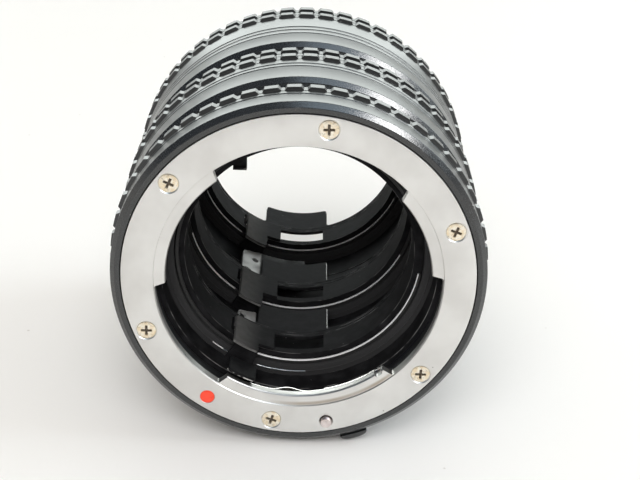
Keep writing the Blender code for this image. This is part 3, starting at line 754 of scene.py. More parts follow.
@dataclass(frozen=True)
class Stack:
    """What all pieces share: the axis, the mount's radii and the fits."""

    axis: float
    flange: float
    plate: float
    gap: float = 0.3 * MM
    fine: float = 0.2 * MM
    band: float = 5.5 * MM
    tab_depth: float = 1.9 * MM
    rim_wall: float = 1.7 * MM
    spigot_length: float = 7.2 * MM
    plate_thickness: float = 2.4 * MM
    flange_thickness: float = 1.8 * MM

    @property
    def screw_circle(self) -> float:
        """The radius of the circle on which all screws stand."""
        return self.flange - 2.2 * MM

    @property
    def sleeve(self) -> float:
        """The light baffle's outer radius."""
        return self.spigot - 1.1 * MM - self.gap

    @property
    def sleeve_rim(self) -> float:
        """The radius of the light baffle's rim."""
        return self.sleeve + 0.9 * MM

    @property
    def entry(self) -> float:
        """The flange's radius at its entries."""
        return self.flange - self.band

    @property
    def throat(self) -> float:
        """The flange's radius at its tabs."""
        return self.entry - self.tab_depth

    @property
    def barrel(self) -> float:
        """The barrel's outer radius."""
        return self.flange + self.fine + self.rim_wall

    @property
    def spigot(self) -> float:
        """The spigot's outer radius."""
        return self.throat - self.gap

    @property
    def bore(self) -> float:
        """The barrel's bore."""
        return self.entry + self.gap + 0.7 * MM

    def point(self, radius: float, angle: float, depth: float) -> Vector:
        """A place given by radius, angle and depth."""
        turn = math.radians(angle)
        return Vector((radius * math.cos(turn), depth, self.axis + radius * math.sin(turn)))


def read_stack() -> Stack:
    """The shared sizes, measured on the frame.

    Returns:
        The stack's sizes.
    """
    low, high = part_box("front_tube_lens_flange")
    plate_low, plate_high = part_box("front_tube_camera_bayonet")
    plate = (plate_high.x - plate_low.x) / 2
    return Stack(axis=(low.z + high.z) / 2, flange=(high.x - low.x) / 2, plate=plate)


STACK = read_stack()


def read_tubes() -> list[Tube]:
    """The three tubes with their mount faces, measured on the frame.

    Returns:
        The tubes from front to rear.
    """
    sizes = {
        Row.FRONT: {
            "grooves": (4.7 * MM,),
            "grip_rows": 1,
            "notch_angle": 102.9,
            "ring_glint_arcs": ((250.0, 351.7),),
            "plate_glint_arcs": ((228.5, 237.0), (251.5, 273.6)),
            "lever_near": -4.1 * MM,
            "lever_shadow_angles": (0.0, 1.0),
        },
        Row.MIDDLE: {
            "grooves": (6.7 * MM, 8.2 * MM),
            "grip_rows": 2,
            "notch_angle": 98.4,
            "ring_glint_arcs": ((195.0, 234.0), (250.0, 334.3)),
            "bore_lines": (0.45,),
            "plate_tail": 12.8 * MM,
            "plate_holes": ((240.6, 9.9 * MM, 0.7 * MM, 1.1 * MM),),
        },
        Row.REAR: {
            "grooves": (6.3 * MM, 8.4 * MM, 10.3 * MM),
            "grip_rows": 2,
            "notch_angle": 80.0,
            "ring_glint_arcs": ((202.0, 234.0), (251.0, 335.6)),
            "bore_lines": (0.3, 0.62),
            "plate_tail": 18.7 * MM,
            "plate_span": (237.2, 273.0),
            "plate_holes": ((244.7, 14.4 * MM, 0.68 * MM, 0.8 * MM), (240.6, 8.8 * MM, MM, MM)),
        },
    }
    tubes = []
    for row in Row:
        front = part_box(f"{row.value}_tube_lens_flange")[0].y
        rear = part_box(f"{row.value}_tube_camera_bayonet")[1].y - STACK.spigot_length
        tubes.append(Tube(row, front, rear, **sizes[row]))
    return tubes


def added(name: str, data: bpy.types.ID) -> Piece:
    """A new object in the scene."""
    made = bpy.data.objects.new(name, data)
    bpy.context.scene.collection.objects.link(made)
    return made


def polar(radius: float, angle: float) -> Point2:
    """A flat point at a radius and an angle in degrees."""
    return radius * math.cos(math.radians(angle)), radius * math.sin(math.radians(angle))


def arc(radius: float, start: float, end: float, step: float = 2.0) -> list[Point2]:
    """Points along an arc.

    Args:
        radius: The arc's radius.
        start: The first angle.
        end: The last angle.
        step: The largest angle between two points.

    Returns:
        The points, ends included.
    """
    count = max(1, math.ceil(abs(end - start) / step))
    return [polar(radius, start + (end - start) * i / count) for i in range(count + 1)]


def sector(inner: float, outer: float, start: float, end: float) -> list[Point2]:
    """The outline of a ring's sector, anticlockwise."""
    return arc(outer, start, end) + arc(inner, end, start)


@dataclass(frozen=True)
class Corner:
    """A corner of an outline, with the size of its rounding and what the mesh stores there."""

    x: float
    y: float
    rounding: float = 0.0
    land: float = 0.0
    rub: float = 0.0


def rounded(corners: Sequence[Corner], steps: int = 2, fence: float = 0.05 * MM) -> list[Corner]:
    """A closed outline with its corners rounded.

    Args:
        corners: The corners in order.
        steps: How many edges stand for one rounding.
        fence: How far past its rounding a marked corner's pale mark reaches, or nought where it covers the
            faces.

    Returns:
        The points of the rounded outline.
    """
    points = []
    count = len(corners)
    for index, corner in enumerate(corners):
        here = Vector((corner.x, corner.y))
        before = Vector((corners[index - 1].x, corners[index - 1].y)) - here
        after = Vector((corners[(index + 1) % count].x, corners[(index + 1) % count].y)) - here
        reach = min(corner.rounding, before.length * 0.45, after.length * 0.45)
        if reach <= 0.0 or before.length == 0.0 or after.length == 0.0:
            points.append(corner)
            continue
        start = before.normalized() * reach
        end = after.normalized() * reach
        fenced = corner.rub > 0.0 and fence > 0.0
        if fenced:
            place = here + before.normalized() * min(reach + fence, before.length * 0.49)
            points.append(Corner(place.x, place.y, 0.0, corner.land))
        for step in range(steps + 1):
            t = step / steps
            place = here + start * (1 - t) ** 2 + end * t ** 2
            points.append(Corner(place.x, place.y, 0.0, corner.land, corner.rub))
        if fenced:
            place = here + after.normalized() * min(reach + fence, after.length * 0.49)
            points.append(Corner(place.x, place.y, 0.0, corner.land))
    return points


def rounded_outline(points: Iterable[Point2], rounding: float, steps: int = 3) -> list[Point2]:
    """A flat outline with every sharp corner rounded alike."""
    return [(c.x, c.y) for c in rounded([Corner(x, y, rounding) for x, y in points], steps)]


class Bare(Enum):
    """Which edge of a curved sheet is marked pale, as wear and, on the black lining, as a painted edge
    highlight.
    """

    NEAR = "the outer edge of its lens-side rim"
    FAR = "the inner edge of its camera-side rim"
    END = "its last side"


@dataclass(frozen=True)
class Rim:
    """Where a curved sheet ends along the axis: a depth, rounded or flared at the sheet's two sides."""

    depth: float
    corner: float = 0.0
    flared: bool = False
    shape: Callable[[float], float] | None = None

    def at(self, angle: float, aside: float, outward: float) -> float:
        """The rim's depth at one angle.

        Args:
            angle: The angle in degrees.
            aside: The distance to the sheet's nearer side.
            outward: One where the rim is the sheet's far end, minus one where it is the near end.

        Returns:
            The world depth.
        """
        depth = self.depth + (self.shape(angle) if self.shape else 0.0)
        if aside >= self.corner:
            return depth
        if self.flared:
            return depth - outward * math.sqrt(self.corner**2 - aside**2)
        return depth - outward * (self.corner - math.sqrt(self.corner**2 - (self.corner - aside) ** 2))


class PieceTree:
    """A node tree with named inputs that is built once and then shapes pieces as a modifier."""

    NAME = ""
    INPUTS: dict[str, str] = {}

    def __init__(self) -> None:
        """Build the tree from its inputs to its finish."""
        tree = bpy.data.node_groups.new(self.NAME, "GeometryNodeTree")
        self.tree = tree
        self.identifiers: dict[str, str] = {}
        for name, kind in self.INPUTS.items():
            made = tree.interface.new_socket(name, in_out="INPUT", socket_type=f"NodeSocket{kind}")
            self.identifiers[name] = made.identifier
        tree.interface.new_socket("Mesh", in_out="OUTPUT", socket_type="NodeSocketGeometry")
        graph = Graph(tree)
        given = graph.node("NodeGroupInput")
        geometry = self.fill(graph, given)
        geometry = graph.node("GeometryNodeRealizeInstances", {"Geometry": geometry})
        values = {"Geometry": geometry, "Material": given.out("Finish")}
        finished = graph.node("GeometryNodeSetMaterial", values)
        graph.node("NodeGroupOutput", {0: finished})

    def fill(self, graph: Graph, given: Wire) -> Wire:
        """Add the nodes that shape the piece.

        Args:
            graph: The tree's graph.
            given: The group's inputs, of which the first is geometry.

        Returns:
            The piece's geometry.
        """
        raise NotImplementedError

    def shape(self, made: Piece, values: dict[str, float]) -> None:
        """Put the tree on an object.

        Args:
            made: The object.
            values: The inputs by name, besides the axis height.
        """
        modifier = made.modifiers.new(self.NAME, "NODES")
        modifier.node_group = self.tree
        for name, value in {**values, "Axis Height": STACK.axis}.items():
            modifier[self.identifiers[name]] = value


class TurningTree(PieceTree):
    """Turns a profile about the optical axis and presses grip notches into its lands."""

    NAME = "turned_with_grip"
    INPUTS = {
        "Profile": "Geometry",
        "Profile Points": "Int",
        "Teeth": "Int",
        "Notch Angle": "Float",
        "Notch Top": "Float",
        "Notch Floor": "Float",
        "Floor Radius": "Float",
        "Axis Height": "Float",
        "Finish": "Material",
    }
    LINES_PER_TOOTH = 6
    WELD = 0.5e-6

    def fill(self, graph: Graph, given: Wire) -> Wire:
        """Bend a grid round the axis, with the profile's points across it."""
        count = given.out("Profile Points")
        lines = given.out("Teeth") * self.LINES_PER_TOOTH
        sizes = {"Size X": 1.0, "Size Y": 1.0, "Vertices X": lines + 1.0, "Vertices Y": count}
        grid = graph.node("GeometryNodeMeshGrid", sizes)
        parts = graph.node("ShaderNodeSeparateXYZ", {0: graph.node("GeometryNodeInputPosition")})
        line = ((parts + 0.5) * lines).math("ROUND")
        index = ((parts.out("Y") + 0.5) * (count - 1.0)).math("ROUND")
        profile = self.sampled(graph, "FLOAT_VECTOR", graph.node("GeometryNodeInputPosition"), index)
        land = self.sampled(graph, "FLOAT", self.stored(graph, "land"), index)
        rub = self.sampled(graph, "FLOAT", self.stored(graph, "rub"), index)
        angle, top = self.notched(given, line)
        place = graph.node("ShaderNodeSeparateXYZ", {0: profile})
        floor = given.out("Floor Radius")
        raised = (1.0 - land).math("MAXIMUM", top)
        radius = floor + (place - floor) * raised
        turn = angle * math.radians(1.0)
        height = radius * turn.math("SINE") + given.out("Axis Height")
        moved = {0: radius * turn.math("COSINE"), 1: place.out("Y"), 2: height}
        position = graph.node("ShaderNodeCombineXYZ", moved)
        settings = {"data_type": "FLOAT", "domain": "CORNER"}
        values = {0: grid, "Name": "rub", "Value": rub}
        geometry = graph.node("GeometryNodeStoreNamedAttribute", values, settings)
        values = {"Geometry": geometry, "Position": position}
        geometry = graph.node("GeometryNodeSetPosition", values)
        values = {"Geometry": geometry, "Distance": self.WELD}
        return graph.node("GeometryNodeMergeByDistance", values)

    def stored(self, graph: Graph, name: str) -> Wire:
        """A number stored on the profile's points."""
        return graph.node("GeometryNodeInputNamedAttribute", {"Name": name}, {"data_type": "FLOAT"})

    def sampled(self, graph: Graph, kind: str, value: Wire, index: Wire) -> Wire:
        """A value at one of the profile's points."""
        profile = graph.node("NodeGroupInput", out="Profile")
        values = {"Geometry": profile, "Value": value, "Index": index}
        return graph.node("GeometryNodeSampleIndex", values, {"data_type": kind})

    def notched(self, given: Wire, line: Wire) -> tuple[Wire, Wire]:
        """Where a line stands, and whether it runs over a land.

        Args:
            given: The group's inputs.
            line: The line's number round the ring.

        Returns:
            The line's angle, and one over a land or nought in a notch.
        """
        pitch = 360.0 / given.out("Teeth")
        tooth = (line / self.LINES_PER_TOOTH).math("FLOOR")
        number = line - tooth * self.LINES_PER_TOOTH
        top = number > 1.5
        in_notch = (number - 0.5) * given.out("Notch Floor")
        land_step = (pitch - given.out("Notch Top")) / (self.LINES_PER_TOOTH - 3.0)
        on_land = given.out("Notch Top") / 2.0 + (number - 2.0) * land_step
        offset = in_notch * (1.0 - top) + on_land * top
        return given.out("Notch Angle") + tooth * pitch + offset, top


class ScatterTree(PieceTree):
    """Sets copies of one mesh in a circle about the optical axis, each turned a little by chance."""

    NAME = "set_in_circle"
    INPUTS = {
        "Piece": "Geometry",
        "Count": "Int",
        "Circle Radius": "Float",
        "First Angle": "Float",
        "Depth": "Float",
        "Facing": "Float",
        "Axis Height": "Float",
        "Seed": "Int",
        "Finish": "Material",
    }
    SPIN = (-0.1, 0.5)

    def fill(self, graph: Graph, given: Wire) -> Wire:
        """Put an instance on each point of the circle."""
        number = graph.node("GeometryNodeInputIndex")
        turn = (given.out("First Angle") + number * (360.0 / given.out("Count"))) * math.radians(1.0)
        radius = given.out("Circle Radius")
        height = radius * turn.math("SINE") + given.out("Axis Height")
        place = {0: radius * turn.math("COSINE"), 1: given.out("Depth"), 2: height}
        position = graph.node("ShaderNodeCombineXYZ", place)
        values = {"Count": given.out("Count"), "Position": position}
        points = graph.node("GeometryNodePoints", values)
        values = {2: self.SPIN[0], 3: self.SPIN[1], "ID": number, "Seed": given.out("Seed")}
        spin = graph.node("FunctionNodeRandomValue", values, {"data_type": "FLOAT"}, 1)
        rotation = graph.node("ShaderNodeCombineXYZ", {0: given.out("Facing"), 1: spin, 2: 0.0})
        copies = {"Points": points, "Instance": given, "Rotation": rotation}
        return graph.node("GeometryNodeInstanceOnPoints", copies)


class Workbench:
    """Makes, cuts and finishes meshes, and sets them on their bodies in place of the frame's nodes."""

    SHARP = math.radians(32.0)
    WELD = 0.4e-6
    SHEET_STEP = 1.5
    BARE_LINE = 0.12 * MM
    BARE_SIDE = 0.15 * MM

    def __init__(self) -> None:
        """Build the node trees that the pieces share."""
        self.turning = TurningTree()
        self.scatter = ScatterTree()

    def solid(self, name: str, shape: bmesh.types.BMesh) -> Piece:
        """A new object of a closed shape, whose faces are turned outwards."""
        bmesh.ops.recalc_face_normals(shape, faces=shape.faces)
        mesh = bpy.data.meshes.new(name)
        shape.to_mesh(mesh)
        shape.free()
        return added(name, mesh)

    def settled(self, made: Piece) -> Piece:
        """Apply an object's modifiers and clean its mesh.

        Args:
            made: The object.

        Returns:
            The same object with a plain mesh.
        """
        bpy.context.view_layer.update()
        graph = bpy.context.evaluated_depsgraph_get()
        mesh = bpy.data.meshes.new_from_object(made.evaluated_get(graph))
        made.modifiers.clear()
        made.data = mesh
        mesh.name = made.name
        shape = bmesh.new()
        shape.from_mesh(mesh)
        bmesh.ops.remove_doubles(shape, verts=shape.verts, dist=self.WELD)
        bmesh.ops.dissolve_degenerate(shape, edges=shape.edges, dist=self.WELD)
        bmesh.ops.recalc_face_normals(shape, faces=shape.faces)
        shape.to_mesh(mesh)
        shape.free()
        mesh.shade_smooth()
        mesh.set_sharp_from_angle(angle=self.SHARP)
        return made

    def turned(
        self, name: str, profile: Sequence[Corner], front: float, teeth: int, **grip: float
    ) -> Piece:
        """A ring turned about the optical axis.

        Args:
            name: The object's name.
            profile: The closed profile as radius and depth behind the front.
            front: The world depth of the profile's zero.
            teeth: How many sixths of lines go round, or how many grip notches there are.
            grip: Notch Angle, Notch Top, Notch Floor and Floor Radius, where it has notches.

        Returns:
            The ring as a plain mesh.
        """
        loop = list(profile) + [profile[0]]
        mesh = bpy.data.meshes.new(name)
        edges = [(i, i + 1) for i in range(len(loop) - 1)]
        mesh.from_pydata([(corner.x, front + corner.y, 0.0) for corner in loop], edges, [])
        for key in ("land", "rub"):
            layer = mesh.attributes.new(key, "FLOAT", "POINT")
            layer.data.foreach_set("value", [getattr(corner, key) for corner in loop])
        made = added(name, mesh)
        pitch = 360.0 / teeth
        plain = {"Notch Angle": 90.0, "Notch Top": pitch / 2, "Notch Floor": pitch / 6, "Floor Radius": 0.0}
        self.turning.shape(made, {**plain, **grip, "Profile Points": len(loop), "Teeth": teeth})
        return self.settled(made)

    def lofted(
        self, name: str, loops: Sequence[Sequence[Vector]], worn: set[tuple[int, int]] | None = None
    ) -> Piece:
        """A closed solid through a row of loops.

        Args:
            name: The object's name.
            loops: The loops, which all have the same number of points.
            worn: The loop and the place in it of each point that is marked pale, as wear and, on the black
                lining, as a painted edge highlight.

        Returns:
            The solid.
        """
        shape = bmesh.new()
        rings = [[shape.verts.new(point) for point in loop] for loop in loops]
        count = len(rings[0])
        for first, second in zip(rings, rings[1:]):
            for i in range(count):
                j = (i + 1) % count
                shape.faces.new((first[i], first[j], second[j], second[i]))
        shape.faces.new(rings[0])
        shape.faces.new(list(reversed(rings[-1])))
        if worn is not None:
            bare = {rings[ring][place] for ring, place in worn}
            layer = shape.loops.layers.float.new("rub")
            for face in shape.faces:
                for loop in face.loops:
                    loop[layer] = 2.0 if loop.vert in bare else 0.0
        return self.solid(name, shape)

    def prism(self, name: str, outline: Outline, near: float, far: float) -> Piece:
        """A flat outline about the axis, drawn out between two world depths."""
        loops = [[(x, depth, STACK.axis + y) for x, y in outline] for depth in (near, far)]
        return self.lofted(name, loops)

    def sheet(
        self, name: str, radii: Point2, span: Point2, near: Rim, far: Rim, bare: Bare | None = None
    ) -> Piece:
        """A curved sheet about the optical axis.

        Args:
            name: The object's name.
            radii: Its inner and outer radius.
            span: Its first and last angle in degrees.
            near: Its lens-side rim.
            far: Its camera-side rim.
            bare: Which of its edges is marked pale, as wear and, on the black lining, as a painted edge
                highlight.

        Returns:
            The solid.
        """
        corner = max(near.corner, far.corner)
        turn = math.degrees(corner / radii[1])
        fine = [turn * (1.0 - math.cos(math.radians(15.0 * i))) for i in range(7)] if turn else [0.0]
        count = max(2, math.ceil((span[1] - span[0] - 2 * turn) / self.SHEET_STEP))
        step = (span[1] - span[0] - 2 * turn) / count
        angles = [span[0] + offset for offset in fine]
        angles += [span[0] + turn + step * i for i in range(1, count)]
        angles += [span[1] - offset for offset in reversed(fine)]
        loops = []
        worn = set()
        for number, angle in enumerate(angles):
            aside = math.radians(min(angle - span[0], span[1] - angle)) * radii[1]
            low, high = near.at(angle, aside, -1.0), far.at(angle, aside, 1.0)
            line = min(self.BARE_LINE, (high - low) / 3)
            depths = (low, low + line, high - line, high)
            places = [(radii[0], depth) for depth in depths]
            places += [(radii[1], depth) for depth in reversed(depths)]
            loops.append([STACK.point(radius, angle, depth) for radius, depth in places])
            if bare is Bare.NEAR:
                worn.add((number, 7))
            elif bare is Bare.FAR:
                worn.add((number, 3))
            elif bare is Bare.END and math.radians(span[1] - angle) * radii[1] < self.BARE_SIDE:
                worn.update((number, place) for place in range(len(places)))
        return self.lofted(name, loops, worn)

    def spindle(
        self, name: str, profile: Outline, centre: Vector, facets: int = 40
    ) -> Piece:
        """A small turned solid whose own axis runs along depth.

        Args:
            name: The object's name.
            profile: Radius and depth from the axis at one end to the axis at the other.
            centre: The world place of its zero.
            facets: How many faces go round.

        Returns:
            The solid.
        """
        shape = bmesh.new()
        line = [shape.verts.new((radius, depth, 0.0)) for radius, depth in profile]
        edges = [shape.edges.new(pair) for pair in zip(line, line[1:])]
        turn = {"axis": (0, 1, 0), "cent": (0, 0, 0), "angle": math.tau, "steps": facets, "use_merge": True}
        bmesh.ops.spin(shape, geom=line + edges, **turn)
        bmesh.ops.remove_doubles(shape, verts=shape.verts, dist=self.WELD)
        bmesh.ops.translate(shape, verts=shape.verts, vec=centre)
        return self.solid(name, shape)

    def boolean(self, target: Piece, tools: Iterable[Piece], operation: str) -> None:
        """Cut or join tools into a target and remove them.

        Args:
            target: The piece that changes.
            tools: The solids it is changed by.
            operation: The Boolean's operation.
        """
        tools = list(tools)
        for tool in tools:
            modifier = target.modifiers.new("shape", "BOOLEAN")
            modifier.operation = operation
            modifier.object = tool
        self.settled(target)
        for tool in tools:
            bpy.data.objects.remove(tool, do_unlink=True)

    def cut(self, target: Piece, *tools: Piece) -> None:
        """Take tools out of a piece."""
        self.boolean(target, tools, "DIFFERENCE")

    def join(self, target: Piece, *tools: Piece) -> None:
        """Make tools one with a piece."""
        self.boolean(target, tools, "UNION")

    def soften(self, made: Piece, width: float, segments: int = 2) -> None:
        """Round a piece's sharp edges.

        Args:
            made: The piece.
            width: The width of the rounding.
            segments: How many faces stand for it.
        """
        bevel = made.modifiers.new("soft", "BEVEL")
        bevel.width = width
        bevel.segments = segments
        bevel.limit_method = "ANGLE"
        bevel.angle_limit = self.SHARP
        self.settled(made)

    def hand_over(
        self,
        made: Piece,
        finish: Finish,
        tube: Tube,
        body: Body = Body.TUBES,
        nodes: Sequence[str] | None = None,
    ) -> None:
        """Dress a finished piece, hang it on its body and hide the frame's nodes that it stands for.

        Args:
            made: The piece.
            finish: Its finish.
            tube: The tube it belongs to.
            body: The body it rides on.
            nodes: The frame's nodes that it stands for, where that isn't the one named as it is.
        """
        if nodes is None:
            nodes = [tube.node(made.name.removeprefix(tube.named("")))]
        made.data.materials.clear()
        made.data.materials.append(finish.material())
        for polygon in made.data.polygons:
            polygon.material_index = 0
        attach(made, body.of(tube.row))
        if nodes:
            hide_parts(*nodes)
        LOG.info("%s: %d faces", made.name, len(made.data.polygons))


@dataclass
class Barrel:
    """A tube's outer barrel with its line grooves and knurled grip rows."""

    tube: Tube
    rim_drop: float = 0.1 * MM
    chamfer: float = 0.85 * MM
    groove_width: float = 0.5 * MM
    groove_depth: float = 0.25 * MM
    neck: float = 4.5 * MM
    neck_step: float = 0.3 * MM
    land: float = 1.5 * MM
    land_gap: float = 1.8 * MM
    land_height: float = 0.63 * MM
    lip_length: float = 2.4 * MM
    edge: float = 0.07 * MM
    teeth: int = 54
    notch_top: float = 2.6
    notch_floor: float = 1.0
    notch_floor_rise: float = 0.06 * MM

    def profile(self) -> list[Corner]:
        """The barrel's closed profile, from the rim round to the flange's seat."""
        outer, length, edge = STACK.barrel, self.tube.length, self.edge
        seat = STACK.flange + STACK.fine
        ledge = STACK.flange_thickness + STACK.gap
        lip = STACK.entry + STACK.gap
        tail = length - STACK.plate_thickness - STACK.gap
        foot = length - self.neck + self.neck_step
        corners = [Corner(seat, self.rim_drop, edge)]
        corners.append(Corner(outer - self.chamfer, self.rim_drop, edge, 0, 0.7))
        corners.append(Corner(outer, self.rim_drop + self.chamfer, edge, 0, 0.9))
        for groove in self.tube.grooves:
            corners.append(Corner(outer, groove - self.groove_width / 2, edge / 2))
            corners.append(Corner(outer - self.groove_depth, groove, edge / 2))
            corners.append(Corner(outer, groove + self.groove_width / 2, edge / 2))
        for row in reversed(range(self.tube.grip_rows)):
            far = length - self.neck - row * (self.land + self.land_gap)
            near = far - self.land
            top = outer + self.land_height
            corners += [Corner(outer, near, edge / 3), Corner(top, near, edge, 1, 1)]
            corners += [Corner(top, far, edge, 1, 1), Corner(outer, far, edge / 3)]
        corners += [Corner(outer, foot, edge, 0, 0.8), Corner(STACK.plate, foot, edge)]
        corners += [Corner(STACK.plate, tail, edge), Corner(STACK.bore, tail, edge)]
        lip_end = ledge + self.lip_length
        corners += [Corner(STACK.bore, lip_end, edge), Corner(lip, lip_end, edge), Corner(lip, ledge, edge)]
        corners.append(Corner(seat, ledge, edge))
        return rounded(corners)

    def screw_hole(self, bench: Workbench, angle: float, facing: float) -> Piece:
        """A screw's hole, from the lens side where facing is one, else from the camera side."""
        deep = 5.3 * MM
        profile = [(0.0, 0.0), (MM, 0.0), (MM, deep * facing), (0.0, deep * facing)]
        depth = self.tube.front if facing > 0.0 else self.tube.rear
        return bench.spindle("screw_hole", profile, STACK.point(STACK.screw_circle, angle, depth), 16)

    def build(self, bench: Workbench) -> None:
        """Make the barrel and stand it for its node."""
        grip = {
            "Notch Angle": self.tube.notch_angle,
            "Notch Top": self.notch_top,
            "Notch Floor": self.notch_floor,
            "Floor Radius": STACK.barrel + self.notch_floor_rise,
        }
        made = bench.turned(self.tube.named("barrel"), self.profile(), self.tube.front, self.teeth, **grip)
        tools = Lock(self.tube).pocket(bench)
        tools += [self.screw_hole(bench, angle, 1.0) for angle in Fasteners.FRONT_ANGLES]
        tools += [self.screw_hole(bench, angle, -1.0) for angle in Fasteners.REAR_ANGLES]
        bench.cut(made, *tools)
        polished = self.tube.front + self.rim_drop + self.chamfer
        bench.hand_over(made, BlackEnamel(self.tube.named("black_enamel"), polished=polished), self.tube)


@dataclass
class LensFlange:
    """The silver bayonet plate with its tabs, countersinks and the red index dot."""

    tube: Tube
    tabs: tuple[Point2, ...] = ((3.0, 44.0), (126.4, 184.0), (236.5, 313.5))
    ramp: float = 1.6
    ramp_corner: float = 0.9 * MM
    tab_drop: float = 0.26 * MM
    tab_slope: float = 0.13 * MM
    inner_chamfer: float = 0.20 * MM
    line: float = 0.05 * MM
    slot_span: Point2 = (307.5, 310.9)
    slot_radius: float = 22.85 * MM
    edge: float = 0.10 * MM
    dot_angle: float = 236.2
    dot_radius: float = 1.25 * MM
    dot_depth: float = 0.3 * MM
    pin_hole: float = 1.15 * MM

    def profile(self) -> list[Corner]:
        """The plate's closed profile with the step round its tabs."""
        outer, thick, entry, throat = STACK.flange, STACK.flange_thickness, STACK.entry, STACK.throat
        drop, line = self.tab_drop, self.line
        foot = drop + self.inner_chamfer
        return rounded([
            Corner(outer, 0.0, self.edge),
            Corner(outer, thick, self.edge),
            Corner(throat, thick, self.edge),
            Corner(throat, foot + 3 * line),
            Corner(throat + line, foot + 2 * line),
            Corner(throat, foot + line),
            Corner(throat, foot, self.edge / 2),
            Corner(throat + self.inner_chamfer, drop, self.edge),
            Corner(entry + line, drop, self.edge / 2),
            Corner(entry + self.tab_slope, 0.0, self.edge / 2),
        ])

    def entry_cutter(self, bench: Workbench, index: int) -> Piece:
        """The solid that opens one entry between two tabs."""
        start = self.tabs[index][1]
        end = self.tabs[(index + 1) % len(self.tabs)][0]
        end = end + 360.0 if end < start else end
        inner = STACK.throat - 1.0 * MM
        outline = arc(STACK.entry, start, end, 1.5)
        outline += [polar(STACK.throat, end + self.ramp), polar(inner, end + self.ramp)]
        outline += arc(inner, end, start, 6.0)
        outline += [polar(inner, start - self.ramp), polar(STACK.throat, start - self.ramp)]
        return self.through(bench, f"entry_{index}", rounded_outline(outline, self.ramp_corner, 5))

    def through(self, bench: Workbench, name: str, outline: Outline) -> Piece:
        """A cutter that goes through the whole plate."""
        front = self.tube.front
        return bench.prism(name, outline, front - MM, front + STACK.flange_thickness + MM)

    def hole(
        self, bench: Workbench, radius: float, angle: float, circle: float, depth: float
    ) -> Piece:
        """A round hole's cutter with a small chamfer at its mouth."""
        rise, lip = 0.4 * MM, 0.08 * MM
        slope = lip + rise
        profile = [(0.0, -rise), (radius + slope, -rise), (radius, lip), (radius, depth), (0.0, depth)]
        return bench.spindle("hole", profile, STACK.point(circle, angle, self.tube.front))

    def build(self, bench: Workbench) -> None:
        """Make the plate and the dot's paint."""
        front = self.tube.front
        made = bench.turned(self.tube.named("lens_flange"), self.profile(), front, TEETH)
        tools = [self.entry_cutter(bench, index) for index in range(len(self.tabs))]
        slot = rounded_outline(sector(STACK.throat - MM, self.slot_radius, *self.slot_span), 0.2 * MM)
        tools.append(self.through(bench, "slot", slot))
        bench.cut(made, *tools)
        holes = [Fasteners.countersink(bench, angle, front, 1.0) for angle in Fasteners.FRONT_ANGLES]
        through = STACK.flange_thickness + MM
        holes.append(self.hole(bench, self.pin_hole, Lock.pin_angle, Lock.pin_circle, through))
        holes.append(self.hole(bench, self.dot_radius, self.dot_angle, STACK.screw_circle, self.dot_depth))
        bench.cut(made, *holes)
        bench.hand_over(made, SatinChrome(), self.tube)
        self.build_dot(bench)

    def build_dot(self, bench: Workbench) -> None:
        """The paint that fills the dot's recess, a little sunk at its middle."""
        skin, clear = 0.03 * MM, 0.02 * MM
        floor = self.dot_depth - clear
        outer = self.dot_radius - clear
        profile = [(0.0, skin), (outer * 0.7, skin * 0.6), (outer * 0.95, 0.0)]
        profile += [(outer, skin), (outer, floor), (0.0, floor)]
        centre = STACK.point(STACK.screw_circle, self.dot_angle, self.tube.front)
        made = bench.settled(bench.spindle(self.tube.named("index_dot"), profile, centre, 48))
        bench.hand_over(made, RedPaint(), self.tube, nodes=())


